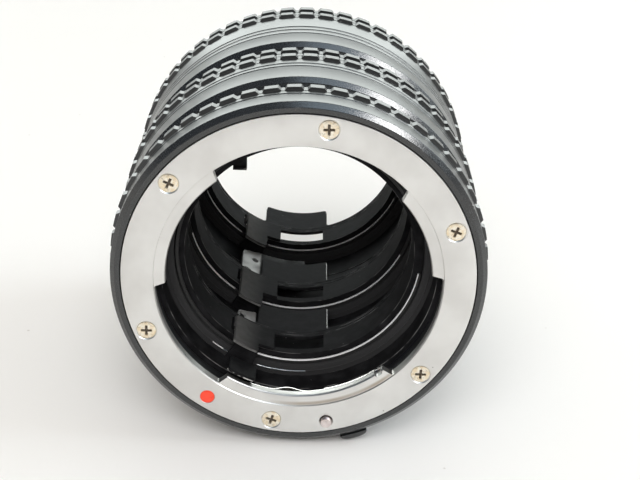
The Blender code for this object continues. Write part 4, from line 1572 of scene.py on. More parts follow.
@dataclass
class Fasteners:
    """The countersunk screws of one tube, six through the flange and three through the plate."""

    tube: Tube
    head: float = 1.6 * MM
    cone: float = 0.8 * MM
    shank: float = 0.8 * MM
    length: float = 5.0 * MM
    dome: float = 0.06 * MM
    cross_length: float = 2.0 * MM
    cross_width: float = 0.46 * MM
    cross_depth: float = 0.40 * MM
    sink: float = 0.10 * MM
    seed: int = 4

    FRONT_ANGLES = tuple(21.4 + 60.0 * i for i in range(6))
    REAR_ANGLES = tuple(111.4 + 120.0 * i for i in range(3))

    @staticmethod
    def countersink(bench: Workbench, angle: float, depth: float, facing: float) -> Piece:
        """The cutter of a countersunk hole.

        Args:
            bench: The workbench.
            angle: The hole's angle.
            depth: The world depth of the surface.
            facing: One where the head faces the lens side, minus one where it faces the camera side.

        Returns:
            The cutter.
        """
        mouth, shank, cone, rise, through = 1.8 * MM, 1.0 * MM, 0.8 * MM, 0.5 * MM, 4.0 * MM
        profile = [(0.0, -rise), (mouth + rise, -rise), (mouth, 0.0)]
        profile += [(shank, cone), (shank, through), (0.0, through)]
        placed = [(radius, deep * facing) for radius, deep in profile]
        return bench.spindle("countersink", placed, STACK.point(STACK.screw_circle, angle, depth))

    def screw(self, bench: Workbench) -> bpy.types.Mesh:
        """One screw with its head at depth nought, facing the lens side, about its own axis.

        Returns:
            The screw's mesh, with a mark stored on its recess, which is dirty and in painted shade, and on
            the cone below its rim, which is painted shadow.
        """
        soft = 0.12 * MM
        profile = [(0.0, -self.dome), (self.head * 0.6, -self.dome * 0.7), (self.head - soft, 0.0)]
        profile += [(self.head, soft * 0.5), (self.head, soft), (self.shank, self.cone + soft)]
        profile += [(self.shank, self.length), (0.0, self.length)]
        made = bench.spindle("screw", profile, Vector((0, 0, 0)), 36)
        for turn in (0.0, math.pi / 2):
            bench.cut(made, self.cross_bar(bench, turn))
        shape = bmesh.new()
        shape.from_mesh(made.data)
        layer = shape.verts.layers.float.new("grime")
        for vertex in shape.verts:
            # Marks the recess, dirty and in painted shade, and the cone below the head's rim, which is
            # painted shadow.
            out = math.hypot(vertex.co.x, vertex.co.z)
            in_recess = vertex.co.y > 0.05 * MM and out < self.cross_length * 0.55
            below = vertex.co.y > soft * 1.2
            vertex[layer] = 1.0 if in_recess or below else 0.0
        shape.to_mesh(made.data)
        shape.free()
        mesh = made.data
        bpy.data.objects.remove(made, do_unlink=True)
        return mesh

    def cross_bar(self, bench: Workbench, turn: float) -> Piece:
        """One bar of the cross recess, tapered towards its ends and its floor."""
        shape = bmesh.new()
        bmesh.ops.create_cube(shape, size=1.0)
        for vertex in shape.verts:
            deep = vertex.co.y > 0
            reach = self.cross_length / 2 * (0.80 if deep else 1.0)
            half = self.cross_width / 2 * (0.70 if deep else 1.1)
            vertex.co.x = math.copysign(reach, vertex.co.x)
            vertex.co.z = math.copysign(half, vertex.co.z)
            vertex.co.y = self.cross_depth if deep else -0.2 * MM
        bmesh.ops.rotate(shape, verts=shape.verts, matrix=Matrix.Rotation(turn, 3, "Y"))
        return bench.solid("cross_bar", shape)

    def build(self, bench: Workbench) -> None:
        """Set the front and rear screws in their circles."""
        front, rear = self.tube.front + self.sink, self.tube.rear - self.sink
        rings = (
            ("flange_screw", self.FRONT_ANGLES, front, 0.0),
            ("plate_screw", self.REAR_ANGLES, rear, math.pi),
        )
        for index, (label, angles, depth, facing) in enumerate(rings):
            made = added(self.tube.named(f"{label}s"), self.screw(bench))
            values = {
                "Count": len(angles),
                "Circle Radius": STACK.screw_circle,
                "First Angle": angles[0],
                "Depth": depth,
                "Facing": facing,
                "Seed": self.seed + index,
            }
            bench.scatter.shape(made, values)
            bench.settled(made)
            nodes = [self.tube.node(f"{label}_{i + 1}") for i in range(len(angles))]
            bench.hand_over(made, GiltSteel(), self.tube, nodes=nodes)


@dataclass
class CameraBayonet:
    """The camera-side plate with its spigot, three lugs and the notch for the levers."""

    tube: Tube
    lugs: tuple[Point2, ...] = ((6.0, 42.0), (137.0, 177.0), (286.0, 312.0))
    lug_near: float = 2.6 * MM
    lug_far: float = 4.0 * MM
    lug_root: float = 0.5 * MM
    notch: Point2 = (233.0, 285.0)
    notch_depth: float = 0.6 * MM
    spigot_wall: float = 1.1 * MM
    rim_inset: float = 0.2 * MM
    line_radius: float = 22.9 * MM
    line_width: float = 0.14 * MM
    line_rise: float = 0.08 * MM
    socket_radius: float = 1.15 * MM
    socket_depth: float = 1.2 * MM
    edge: float = 0.10 * MM

    def profile(self) -> list[Corner]:
        """The closed profile, with its lens side and its inside marked as blackened."""
        plate, spigot, end = STACK.plate, STACK.spigot, STACK.spigot_length
        inner = spigot - self.spigot_wall
        near = -STACK.plate_thickness
        rim = STACK.sleeve_rim + STACK.gap
        skirt = plate - 0.5 * MM
        low, high = self.line_radius - self.line_width, self.line_radius + self.line_width
        crest = near - self.line_rise
        corners = [Corner(skirt, near), Corner(plate, near, self.edge)]
        corners += [Corner(plate, 0.0, self.edge * 2), Corner(spigot, 0.0, self.edge)]
        corners.append(Corner(spigot, end, self.edge * 2))
        inside = [(inner, end), (inner, -self.rim_inset), (rim, -self.rim_inset), (rim, near)]
        corners += [Corner(x, y, self.edge, 0.0, 1.0) for x, y in inside]
        face = [(low, near), (low + self.line_rise, crest), (high - self.line_rise, crest)]
        face += [(high, near), (skirt - self.edge, near)]
        corners += [Corner(x, y, 0.0, 0.0, 1.0) for x, y in face]
        return rounded(corners, fence=0.0)

    def lug(self, bench: Workbench, index: int) -> Piece:
        """One lug with softened edges, ready to be joined to the spigot."""
        start, end = self.lugs[index]
        outline = sector(STACK.spigot - self.lug_root, STACK.entry - STACK.gap, start, end)
        near, far = self.tube.rear + self.lug_near, self.tube.rear + self.lug_far
        made = bench.prism(f"lug_{index}", rounded_outline(outline, 0.6 * MM), near, far)
        bench.soften(made, 0.12 * MM)
        return made

    def build(self, bench: Workbench) -> None:
        """Make the bayonet and stand it for its node."""
        rear = self.tube.rear
        made = bench.turned(self.tube.named("camera_bayonet"), self.profile(), rear, TEETH)
        bench.join(made, *[self.lug(bench, index) for index in range(len(self.lugs))])
        inner = STACK.spigot - self.spigot_wall - 0.5 * MM
        notch = rounded_outline(sector(inner, STACK.entry, *self.notch), 0.4 * MM)
        end = rear + STACK.spigot_length + MM
        tools = [bench.prism("lever_notch", notch, rear + self.notch_depth, end)]
        tools += [Fasteners.countersink(bench, angle, rear, -1.0) for angle in Fasteners.REAR_ANGLES]
        radius, depth = self.socket_radius, -self.socket_depth
        socket = [(0.0, MM), (radius, MM), (radius, depth), (0.0, depth)]
        tools.append(bench.spindle("pin_socket", socket, STACK.point(Lock.pin_circle, Lock.pin_angle, rear)))
        bench.cut(made, *tools)
        finish = HalfBlackenedChrome(self.tube.named("half_blackened_chrome"), arcs=self.tube.plate_glint_arcs)
        bench.hand_over(made, finish, self.tube)


@dataclass
class LightBaffle:
    """The blackened sleeve in the spigot, with the lever's window and the guard tongue."""

    tube: Tube
    near: float = -1.1 * MM
    rim_far: float = -0.5 * MM
    wall: float = 0.6 * MM
    window: Point2 = (233.5, 284.0)
    window_depths: Point2 = (0.5 * MM, 5.0 * MM)
    guard: Point2 = (248.5, 286.2)
    guard_reach: float = 15.2 * MM
    guard_root: float = 6.6 * MM
    guard_corner: float = 0.7 * MM
    foot: float = 1.0 * MM
    skin: float = 0.02 * MM
    edge: float = 0.05 * MM
    line: float = 0.10 * MM
    lines: tuple[float, ...] = (5.6 * MM, 6.5 * MM)

    def profile(self) -> list[Corner]:
        """The sleeve's closed profile with fine lines in its bore."""
        outer, end = STACK.sleeve, STACK.spigot_length
        bore = outer - self.wall
        corners = [
            Corner(STACK.sleeve_rim, self.near, self.edge),
            Corner(STACK.sleeve_rim, self.rim_far, self.edge),
            Corner(outer, self.rim_far, self.edge),
            Corner(outer, end, self.edge),
            Corner(bore, end, self.edge, 0.0, 1.0),
        ]
        for line in reversed(self.lines):
            corners += [
                Corner(bore, line + self.line, self.line / 4, 0.0, 0.9),
                Corner(bore + self.line, line, 0.0),
                Corner(bore, line - self.line, self.line / 4, 0.0, 0.9),
            ]
        corners.append(Corner(bore, self.near, self.edge, 0.0, 0.8))
        return rounded(corners)

    def tongue(self, bench: Workbench) -> Piece:
        """The guard tongue with its rounded tip and the fillets at its foot."""
        rear = self.tube.rear
        radii = (STACK.sleeve - self.wall + self.skin, STACK.sleeve - self.skin)
        tip = Rim(rear + self.guard_reach, self.guard_corner)
        # The tongue's last side is marked pale: wear, and a painted edge highlight.
        bare = None if self.tube.row is Row.REAR else Bare.END
        made = bench.sheet("tongue", radii, self.guard, Rim(rear + self.guard_root), tip, bare)
        foot = Rim(rear + STACK.spigot_length + self.foot, self.foot, flared=True)
        flare = math.degrees(self.foot / STACK.sleeve)
        wide = (self.guard[0] - flare, self.guard[1] + flare)
        inset = (radii[0] + self.skin, radii[1] - self.skin)
        near = Rim(rear + self.guard_root + self.skin)
        bench.join(made, bench.sheet("tongue_foot", inset, wide, near, foot))
        return made

    def build(self, bench: Workbench) -> None:
        """Make the sleeve and stand it for its node."""
        rear = self.tube.rear
        made = bench.turned(self.tube.named("light_baffle"), self.profile(), rear, TEETH)
        bench.join(made, self.tongue(bench))
        outline = sector(STACK.sleeve - self.wall - MM, STACK.sleeve + 0.5 * MM, *self.window)
        near, far = rear + self.window_depths[0], rear + self.window_depths[1]
        bench.cut(made, bench.prism("window", outline, near, far))
        bench.hand_over(made, MattBlack(), self.tube)


@dataclass
class RetainingRing:
    """The open ring that holds the light baffle, with a painted glint along its lower side."""

    tube: Tube
    radii: Point2 = (21.0 * MM, 21.6 * MM)
    near: float = -1.8 * MM
    far: float = -1.3 * MM
    span: Point2 = (20.0, 352.0)

    def build(self, bench: Workbench) -> None:
        """Make the ring and stand it for its node."""
        rear = self.tube.rear
        outline = sector(*self.radii, *self.span)
        made = bench.prism(self.tube.named("retaining_ring"), outline, rear + self.near, rear + self.far)
        bench.soften(made, 0.08 * MM, 1)
        bench.hand_over(made, BrightRing(self.tube.named("bright_ring"), arcs=self.tube.ring_glint_arcs), self.tube)


@dataclass
class ApertureRing:
    """The drum that turns in the barrel, with its rear lever, drive tab and hanging tab."""

    tube: Tube
    near: float = 4.8 * MM
    tail: float = 2.7 * MM
    wall: float = 1.3 * MM
    line: float = 0.12 * MM
    line_width: float = 0.5 * MM
    web_depths: Point2 = (-3.8 * MM, -3.0 * MM)
    web_span: Point2 = (237.0, 249.5)
    lever_radii: Point2 = (19.1 * MM, 19.7 * MM)
    lever_span: Point2 = (235.0, 249.0)
    lever_far: float = 5.0 * MM
    shelf_end: float = 257.6
    shelf_near: float = -1.6 * MM
    drive_radii: Point2 = (19.25 * MM, 21.6 * MM)
    drive_span: Point2 = (234.6, 235.9)
    drive_depths: Point2 = (1.6 * MM, 4.8 * MM)
    stop_angle: float = 116.0
    stop_width: float = 2.3 * MM
    stop_length: float = 4.2 * MM
    stop_depths: Point2 = (-4.5 * MM, -3.7 * MM)
    lip_depth: float = -5.0 * MM
    lip_height: float = 0.45 * MM

    @property
    def outer(self) -> float:
        """The drum's outer radius."""
        return STACK.bore - STACK.gap

    @property
    def inner(self) -> float:
        """The drum's bore."""
        return self.outer - self.wall

    def profile(self) -> list[Corner]:
        """The drum's closed profile with fine steps in its bore."""
        edge = 0.08 * MM
        end = self.tube.length - self.tail
        corners = [Corner(self.outer, self.near, edge), Corner(self.outer, end, edge)]
        corners.append(Corner(self.inner, end, edge, 0.0, 1.0))
        for share in reversed(self.tube.bore_lines):
            middle = self.near + (end - self.near) * share
            low, high = middle - self.line_width / 2, middle + self.line_width / 2
            soft, deep = self.line / 4, self.inner + self.line
            corners += [Corner(self.inner, high, soft, 0.0, 1.0), Corner(deep, high - self.line, soft)]
            corners += [Corner(deep, low, soft), Corner(self.inner, low, soft)]
        corners.append(Corner(self.inner, self.near, edge, 0.0, 1.0))
        return rounded(corners)

    def stop_tab(self, bench: Workbench) -> Piece:
        """The hanging tab, whose lower lip is bent towards the lens side."""
        middle, top = polar(self.inner, self.stop_angle)
        left, right = middle - self.stop_width / 2, middle + self.stop_width / 2
        root = self.inner + 0.3 * MM
        foot = top - self.stop_length
        outline = [(left, foot), (right, foot)]
        outline += [(side, math.sqrt(root**2 - side**2)) for side in (right, left)]
        near, far = (self.tube.rear + depth for depth in self.stop_depths)
        made = bench.prism("stop_tab", outline, near, far)
        inset = 0.02 * MM
        lip = [(left + inset, foot + inset), (right - inset, foot + inset)]
        lip += [(right - inset, foot + self.lip_height), (left + inset, foot + self.lip_height)]
        bench.join(made, bench.prism("stop_lip", lip, self.tube.rear + self.lip_depth, far - inset))
        bench.soften(made, 0.08 * MM)
        return made

    def lever(self, bench: Workbench) -> Piece:
        """The rear lever, a curved blade with a shorter shelf beside it."""
        rear = self.tube.rear
        tip = Rim(rear + self.lever_far, 0.5 * MM)
        near = Rim(rear + self.tube.lever_near, 0.3 * MM)
        made = bench.sheet("lever", self.lever_radii, self.lever_span, near, tip, Bare.NEAR)
        inset = 0.02 * MM
        radii = (self.lever_radii[0] + inset, self.lever_radii[1] - inset)
        span = (self.lever_span[1] - 1.0, self.shelf_end)
        far = Rim(rear + self.lever_far - inset, 0.5 * MM)
        bench.join(made, bench.sheet("shelf", radii, span, Rim(rear + self.shelf_near), far))
        return made

    def build(self, bench: Workbench) -> None:
        """Make the ring and stand it for its node."""
        rear = self.tube.rear
        made = bench.turned(self.tube.named("aperture_ring"), self.profile(), self.tube.front, TEETH)
        inset = 0.1 * MM
        web = sector(self.lever_radii[0] + inset, self.inner + 0.3 * MM, *self.web_span)
        drive = sector(*self.drive_radii, *self.drive_span)
        tools = []
        for name, outline, depths in (("web", web, self.web_depths), ("drive_tab", drive, self.drive_depths)):
            tools.append(bench.prism(name, outline, *(rear + depth for depth in depths)))
        tools += [self.lever(bench), self.stop_tab(bench)]
        bench.join(made, *tools)
        bench.hand_over(made, LeverBlack(), self.tube, Body.APERTURE)


@dataclass
class CouplingLever:
    """The pressed lever that the tube in front pushes, with its pierced plate."""

    tube: Tube
    radii: Point2 = (21.0 * MM, 21.6 * MM)
    span: Point2 = (236.5, 250.5)
    near: float = 1.2 * MM
    web_depths: Point2 = (5.0 * MM, 5.8 * MM)
    web_span: Point2 = (238.5, 248.5)
    web_outer: float = 23.4 * MM
    plate_near: float = 7.5 * MM
    slant_end: float = 248.0
    slant: float = 0.19 * MM

    def slanted(self, angle: float) -> float:
        """How much the plate's far rim falls short of its tail at an angle."""
        return self.slant * min(0.0, angle - self.slant_end)

    def pierced(self, bench: Workbench, made: Piece) -> None:
        """Cut the plate's round and oval holes.

        Args:
            bench: The workbench.
            made: The lever.
        """
        middle = (self.radii[0] + self.radii[1]) / 2
        for index, (angle, depth, wide, deep) in enumerate(self.tube.plate_holes):
            profile = [(0.0, -MM), (1.0, -MM), (1.0, MM), (0.0, MM)]
            tool = bench.spindle(f"hole_{index}", profile, Vector((0, 0, 0)), 24)
            turn = Matrix.Rotation(math.radians(90.0 - angle), 4, "Y") @ Matrix.Rotation(math.pi / 2, 4, "X")
            size = Matrix.Diagonal((wide, 1.0, deep, 1.0))
            place = Matrix.Translation(STACK.point(middle, angle, self.tube.front + depth))
            tool.data.transform(place @ turn @ size)
            bench.cut(made, tool)

    def build(self, bench: Workbench) -> None:
        """Make the lever and stand it for its node."""
        front = self.tube.front
        plated = self.tube.plate_tail > 0.0
        far = self.plate_near + 0.3 * MM if plated else self.web_depths[1] - 0.1 * MM
        name = self.tube.named("coupling_lever")
        near = Rim(front + self.near, 0.4 * MM)
        made = bench.sheet(name, self.radii, self.span, near, Rim(front + far), Bare.NEAR)
        inset = 0.03 * MM
        web = sector(self.radii[0] + inset, self.web_outer, *self.web_span)
        tools = [bench.prism("web", web, front + self.web_depths[0], front + self.web_depths[1])]
        if plated:
            radii = (self.radii[0] + inset, self.radii[1] - inset)
            end = Rim(front + self.tube.plate_tail, 0.4 * MM, shape=self.slanted)
            start = Rim(front + self.plate_near, 0.3 * MM)
            tools.append(bench.sheet("plate", radii, self.tube.plate_span, start, end, Bare.FAR))
        bench.join(made, *tools)
        self.pierced(bench, made)
        finish = GreySteel(self.tube.named("pressed_steel"), fade=self.tube.lever_shadow_angles)
        bench.hand_over(made, finish, self.tube, Body.APERTURE)


@dataclass
class LeafSpring:
    """The thin leaf behind the widest tab, bowed away from the flange, with its thicker fixed end."""

    tube: Tube
    radii: Point2 = (22.5 * MM, 23.9 * MM)
    span: Point2 = (240.0, 310.0)
    near: float = 2.0 * MM
    thick: float = 0.2 * MM
    bow: Point2 = (258.5, 275.0)
    rise: float = 1.15 * MM
    root: Point2 = (283.0, 307.2)
    root_radius: float = 22.4 * MM

    def lift(self, angle: float) -> float:
        """How far the leaf stands back at an angle."""
        share = (angle - self.bow[0]) / (self.bow[1] - self.bow[0])
        return self.rise * math.sin(math.pi * min(max(share, 0.0), 1.0)) ** 2

    def build(self, bench: Workbench) -> None:
        """Make the leaf and stand it for its node."""
        front = self.tube.front
        near = Rim(front + self.near, 0.0, shape=self.lift)
        far = Rim(front + self.near + self.thick, 0.0, shape=self.lift)
        made = bench.sheet(self.tube.named("leaf_spring"), self.radii, self.span, near, far)
        skin, proud = 0.03 * MM, 0.1 * MM
        root = sector(self.root_radius, self.radii[1] - skin, *self.root)
        bench.join(made, bench.prism("root", root, near.depth - skin, far.depth + proud))
        bench.hand_over(made, SpringSteel(), self.tube)


@dataclass
class Lock:
    """The lock pin and the release slider that draws it back."""

    tube: Tube
    pin_angle: float = 281.5
    pin_circle: float = STACK.flange - 2.0 * MM
    pin_radius: float = 0.95 * MM
    pin_proud: float = 0.9 * MM
    pin_shoulder: float = 2.5 * MM
    tail_radius: float = 0.5 * MM
    tail_end: float = 6.2 * MM
    arm_depths: Point2 = (2.7 * MM, 3.9 * MM)
    arm_half: float = 0.85 * MM
    stem_span: Point2 = (287.2, 290.8)
    button_span: Point2 = (284.7, 293.3)
    button_depths: Point2 = (1.4 * MM, 4.0 * MM)
    button_radii: Point2 = (32.25 * MM, 33.2 * MM)
    stroke: float = 1.3 * MM

    @property
    def arm_start(self) -> float:
        """The angle at which the arm begins."""
        return self.pin_angle - math.degrees(self.pin_radius / self.pin_circle)

    def build_pin(self, bench: Workbench) -> None:
        """The stepped pin with a chamfered, faintly domed tip."""
        tip, chamfer, dome = -self.pin_proud, 0.22 * MM, 0.04 * MM
        radius, slim, rim = self.pin_radius, self.tail_radius, tip + dome
        profile = [(0.0, tip), (radius * 0.4, tip + dome * 0.3), (radius - chamfer, rim)]
        profile += [(radius - chamfer * 0.3, rim + chamfer * 0.3), (radius, rim + chamfer)]
        profile += [(radius, self.pin_shoulder), (slim, self.pin_shoulder)]
        profile += [(slim, self.tail_end), (0.0, self.tail_end)]
        centre = STACK.point(self.pin_circle, self.pin_angle, self.tube.front)
        made = bench.settled(bench.spindle(self.tube.named("lock_pin"), profile, centre, 48))
        bench.hand_over(made, PinSteel(), self.tube, Body.LOCK)

    def build_slider(self, bench: Workbench) -> None:
        """The arm with the pin's eye, the stem and the finger button."""
        front = self.tube.front
        inner, outer = self.pin_circle - self.arm_half, self.pin_circle + self.arm_half
        sink = 0.3 * MM
        outline = arc(inner, self.arm_start, self.stem_span[1], 1.0)
        outline += arc(self.button_radii[0] + sink, self.stem_span[1], self.stem_span[0], 1.0)
        outline += arc(outer, self.stem_span[0], self.arm_start, 1.0)
        name = self.tube.named("release_slider")
        made = bench.prism(name, outline, front + self.arm_depths[0], front + self.arm_depths[1])
        eye_radius = self.tail_radius + STACK.fine
        eye = [(0.0, 0.0), (eye_radius, 0.0), (eye_radius, 6.0 * MM), (0.0, 6.0 * MM)]
        bench.cut(made, bench.spindle("eye", eye, STACK.point(self.pin_circle, self.pin_angle, front)))
        bench.join(made, self.button(bench))
        finish = BlackEnamel("polished_button_enamel", gloss=(0.10, 0.16))
        bench.hand_over(made, finish, self.tube, Body.LOCK)

    def button(self, bench: Workbench) -> Piece:
        """The finger button, a hump that falls away towards both ends."""
        low, high = self.button_radii
        start, end = self.button_span
        steps, edge = 24, 0.25
        cap = []
        for i in range(steps + 1):
            share = i / steps
            hump = (1.0 - abs(2.0 * share - 1.0) ** 2.6) ** 0.6
            rise = (high - low) * (edge + (1.0 - edge) * hump)
            cap.append(polar(low + rise, start + (end - start) * share))
        cap += arc(low, end, start)
        near, far = (self.tube.front + depth for depth in self.button_depths)
        made = bench.prism("button", cap, near, far)
        bench.soften(made, 0.30 * MM, 3)
        return made

    def pocket(self, bench: Workbench) -> list[Piece]:
        """The cutters that leave room for the lock in the barrel."""
        front = self.tube.front
        gap, fine = STACK.gap, STACK.fine
        floor = front + self.arm_depths[1] + self.stroke + gap
        reach = math.degrees((self.pin_radius + fine) / self.pin_circle)
        side = math.degrees(gap / self.pin_circle)
        inner = self.pin_circle - self.arm_half - gap
        outer = self.pin_circle + self.arm_half + gap
        arm = sector(inner, outer, self.pin_angle - 2 * reach, self.stem_span[1] + 2 * side)
        made = [bench.prism("arm_pocket", arm, front + STACK.flange_thickness, floor)]
        span = (self.stem_span[0] - side, self.stem_span[1] + side)
        stem = sector(outer - 0.1 * MM, self.button_radii[1], *span)
        made.append(bench.prism("stem_slot", stem, front + self.arm_depths[0] - gap, floor - fine / 2))
        well = [(0.0, 0.0), (1.23 * MM, 0.0), (1.23 * MM, 8.6 * MM), (0.0, 8.6 * MM)]
        made.append(bench.spindle("well", well, STACK.point(self.pin_circle, self.pin_angle, front), 24))
        return made

    def build(self, bench: Workbench) -> None:
        """Make the pin and the slider."""
        self.build_pin(bench)
        self.build_slider(bench)


@dataclass
class PinSpring:
    """The coil that pushes the release arm out, which shortens as the pin is drawn back."""

    tube: Tube
    radius: float = 0.9 * MM
    wire: float = 0.13 * MM
    depths: Point2 = (4.1 * MM, 8.4 * MM)
    turns: int = 3
    points: int = 24
    facets: int = 8

    def build(self, bench: Workbench) -> None:
        """Make the coil."""
        centre = STACK.point(Lock.pin_circle, Lock.pin_angle, self.tube.front)
        along = Vector((0.0, 1.0, 0.0))
        near, far = self.depths
        travel = far - near - 2 * self.wire
        sides = [math.tau * k / self.facets for k in range(self.facets)]
        loops = []
        count = self.turns * self.points
        for share in (i / count for i in range(count + 1)):
            turn = math.tau * self.turns * share
            out = Vector((math.cos(turn), 0.0, math.sin(turn)))
            middle = centre + out * self.radius + along * (near + self.wire + travel * share)
            loops.append([middle + (out * math.cos(s) + along * math.sin(s)) * self.wire for s in sides])
        made = bench.lofted(self.tube.named("pin_spring"), loops)
        made.data.shade_smooth()
        bench.hand_over(made, SpringSteel(), self.tube)
        keep = 1.0 - Lock.stroke / (far - near)
        f"{Body.LOCK.of(self.tube.row)}_slide"
        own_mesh(made)


@dataclass(frozen=True)
class PaleTable(Finish):
    """The table's near-white surface with faint specks."""

    name: str = "pale_table"
    slot: Slot = Slot.CHROME
    colour: Colour = (0.95, 0.95, 0.955)
    clean: Colour = (0.96, 0.96, 0.965)
    speck: Colour = (0.45, 0.43, 0.40)

    def sockets(self, shade: Shade) -> dict[str, Value]:
        """Nearly even white with a few grey specks."""
        base = shade.mix(shade.noise(60.0 * MM, 3.0) * 0.5, self.colour, self.clean)
        base = shade.mix(shade.specks(9.0 * MM, 0.04) * 0.4, base, self.speck)
        return {"Base Color": base, "Roughness": 0.6}


@dataclass(frozen=True)
class Lamp:
    """A soft rectangular lamp that looks at the object.

    The azimuth is nought behind the object and grows towards +X, and the radiance is its face's.
    """

    name: str
    azimuth: float
    elevation: float
    size: Point2
    radiance: float
    tint: Colour = (1.0, 1.0, 1.0)
    diffuse: bool = True
    glossy: bool = True

    def build(self, distance: float) -> None:
        """Hang the lamp.

        Args:
            distance: How far it is from the object's middle.
        """
        light = bpy.data.lights.new(self.name, "AREA")
        light.shape = "RECTANGLE"
        light.size, light.size_y = self.size
        light.energy = self.radiance * math.pi * self.size[0] * self.size[1]
        light.color = self.tint
        lamp = added(self.name, light)
        side, up = math.radians(self.azimuth), math.radians(self.elevation)
        away = Vector((math.sin(side) * math.cos(up), math.cos(side) * math.cos(up), math.sin(up)))
        lamp.location = Vector((0.0, 0.0, STACK.axis)) + away * distance
        lamp.rotation_mode = "QUATERNION"
        lamp.rotation_quaternion = away.to_track_quat("Z", "Y")
        lamp.visible_camera = False
        lamp.visible_diffuse = self.diffuse
        lamp.visible_glossy = self.glossy


@dataclass
class Studio:
    """The pale floor, the lamps and the sky, whose window shows in gloss alone over a plain even dome."""

    lamps: tuple[Lamp, ...] = (
        Lamp("key_lamp", 84.0, 36.0, (0.60, 0.60), 4.0, (0.84, 0.95, 1.0)),
        Lamp("front_fill", 186.0, 46.0, (0.90, 0.70), 3.8, glossy=False),
        Lamp("side_window", 118.0, 48.0, (0.42, 0.36), 20.0, diffuse=False),
        Lamp("blue_window", 146.0, 66.0, (0.62, 0.50), 2.4, (0.70, 0.86, 1.0), diffuse=False),
    )
    floor_half: float = 4.0
    dome: Colour = (0.54, 0.505, 0.455)
    sky_low: Colour = (0.95, 0.92, 0.88)
    sky_high: Colour = (0.10, 0.125, 0.17)
    lamp_distance: float = 1.2
    window_edge: Point2 = (36.0, 52.0)
    wing_edge: Point2 = (7.0, 20.0)
    wing_drop: float = 0.13
    window_radiance: float = 6.2
    window_tint: Colour = (0.94, 1.0, 0.975)
    window_shares: tuple[Point2, ...] = ((0.0, 0.03), (0.24, 0.09), (0.35, 1.0), (0.84, 0.60), (1.0, 0.08))

    def build_floor(self) -> None:
        """A square of floor under the object."""
        half = self.floor_half
        mesh = bpy.data.meshes.new("floor")
        corners = [(-half, -half, 0.0), (half, -half, 0.0), (half, half, 0.0), (-half, half, 0.0)]
        mesh.from_pydata(corners, [], [(0, 1, 2, 3)])
        mesh.materials.append(PaleTable().material())
        added("floor", mesh)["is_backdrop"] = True

    def build_sky(self) -> None:
        """A sky that is pale at the horizon and dim overhead."""
        world = bpy.data.worlds.new("studio_sky")
        bpy.context.scene.world = world
        world.use_nodes = True
        world.node_tree.nodes.clear()
        graph = Graph(world.node_tree)
        direction = graph.node("ShaderNodeTexCoord", out="Generated")
        parts = graph.node("ShaderNodeSeparateXYZ", {0: direction}, out="X")
        rise = parts.out("Z")
        azimuth = parts.math("ARCTAN2", parts.out("Y")).math("ABSOLUTE") * math.degrees(1.0)
        plain = graph.mix(graph.step(rise, 0.0, 0.45), self.sky_low, self.sky_high)
        lowered = rise + graph.step(azimuth, *self.wing_edge) * self.wing_drop
        stops = [(place, (share, share, share)) for place, share in self.window_shares]
        shares = graph.node("ShaderNodeValToRGB", {0: lowered}, {"stops": stops})
        settings = {"data_type": "RGBA", "blend_type": "MULTIPLY"}
        values = {0: 1.0, 6: shares, 7: as_colour(self.window_tint)}
        pane = graph.node("ShaderNodeMix", values, settings, 2)
        window = self.glow(graph, pane, self.window_radiance)
        inside = graph.step(azimuth, self.window_edge[1], self.window_edge[0])
        gloss = graph.node("ShaderNodeMixShader", {0: inside, 1: self.glow(graph, plain), 2: window})
        ray = graph.node("ShaderNodeLightPath", out="Is Camera Ray")
        dome = self.glow(graph, self.dome)
        seen = graph.node("ShaderNodeMixShader", {0: ray.out("Is Glossy Ray"), 1: dome, 2: gloss})
        white = self.glow(graph, (1.0, 1.0, 1.0))
        seen = graph.node("ShaderNodeMixShader", {0: ray, 1: seen, 2: white})
        graph.node("ShaderNodeOutputWorld", {"Surface": seen})

    @staticmethod
    def glow(graph: Graph, colour: Colour | Wire, strength: float = 1.0) -> Wire:
        """A background of one colour and strength."""
        values = {"Color": as_colour(colour), "Strength": strength}
        return graph.node("ShaderNodeBackground", values)

    def build(self) -> None:
        """Set up the floor, the sky and the lamps."""
        self.build_floor()
        self.build_sky()
        for lamp in self.lamps:
            lamp.build(self.lamp_distance)


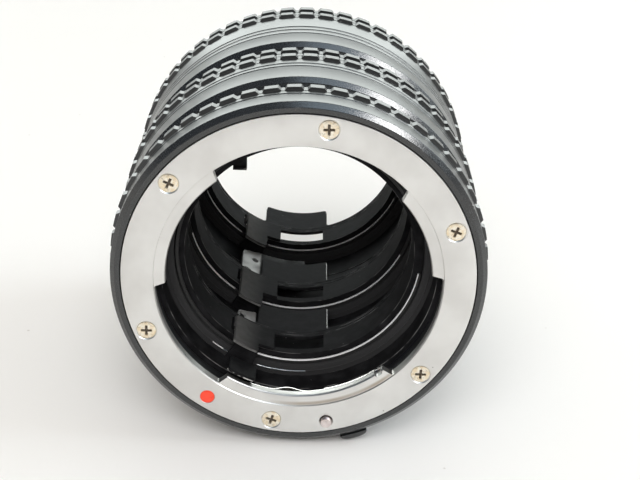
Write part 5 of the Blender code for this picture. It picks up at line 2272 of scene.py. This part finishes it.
@dataclass
class PhotoCamera:
    """The camera as it stood in the photograph."""

    distance: float = 224.5 * MM
    tilt: float = 27.14
    roll: float = -1.72
    focal_pixels: float = 1344.9
    frame_width: float = 640.0
    frame_height: float = 480.0
    centre_pixel: Point2 = (298.7, 282.4)
    sensor: float = 36.0

    def build(self, front: float) -> None:
        """Place the camera.

        Args:
            front: The world depth of the front mount face, whose centre lands on the centre pixel.
        """
        tilt, roll = math.radians(self.tilt), math.radians(self.roll)
        forward = Vector((0.0, math.cos(tilt), -math.sin(tilt)))
        place = Vector((0.0, front, STACK.axis)) - forward * self.distance
        rows = Matrix(((1, 0, 0), (0, math.sin(tilt), math.cos(tilt)), forward))
        across = self.centre_pixel[0] - self.frame_width / 2
        down = self.frame_height / 2 - self.centre_pixel[1]
        tip = math.atan2(down, math.hypot(self.focal_pixels, across))
        pan = math.atan2(across, self.focal_pixels)
        rolled = Matrix.Rotation(roll, 3, "Z")
        tipped = Matrix.Rotation(-tip, 3, "X")
        panned = Matrix.Rotation(pan, 3, "Y")
        right, up, ahead = panned @ tipped @ rolled @ rows
        data = bpy.data.cameras.new("photo_camera")
        data.sensor_width = self.sensor
        data.lens = self.focal_pixels / self.frame_width * self.sensor
        data.clip_start = 0.01
        data.clip_end = 30.0
        camera = added("photo_camera", data)
        turn = Matrix((right, up, -ahead)).transposed().to_4x4()
        camera.matrix_world = Matrix.Translation(place) @ turn
        bpy.context.scene.camera = camera


def write_sizes() -> None:
    boxes = {"cad": CAD_BOX, "visual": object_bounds()}
    json.dumps({key: [list(low), list(high)] for key, (low, high) in boxes.items()})


PIECES = (
    Barrel,
    LensFlange,
    Fasteners,
    LeafSpring,
    Lock,
    PinSpring,
    CameraBayonet,
    LightBaffle,
    RetainingRing,
    ApertureRing,
    CouplingLever,
)


def main() -> None:
    """Build the looks of the whole stack."""
    bpy.context.scene.view_settings.view_transform = "Standard"
    bench = Workbench()
    tubes = read_tubes()
    Studio().build()
    PhotoCamera().build(tubes[0].front)
    for tube in tubes:
        for piece in PIECES:
            piece(tube).build(bench)
    write_sizes()


if __name__ == "__main__":
    main()
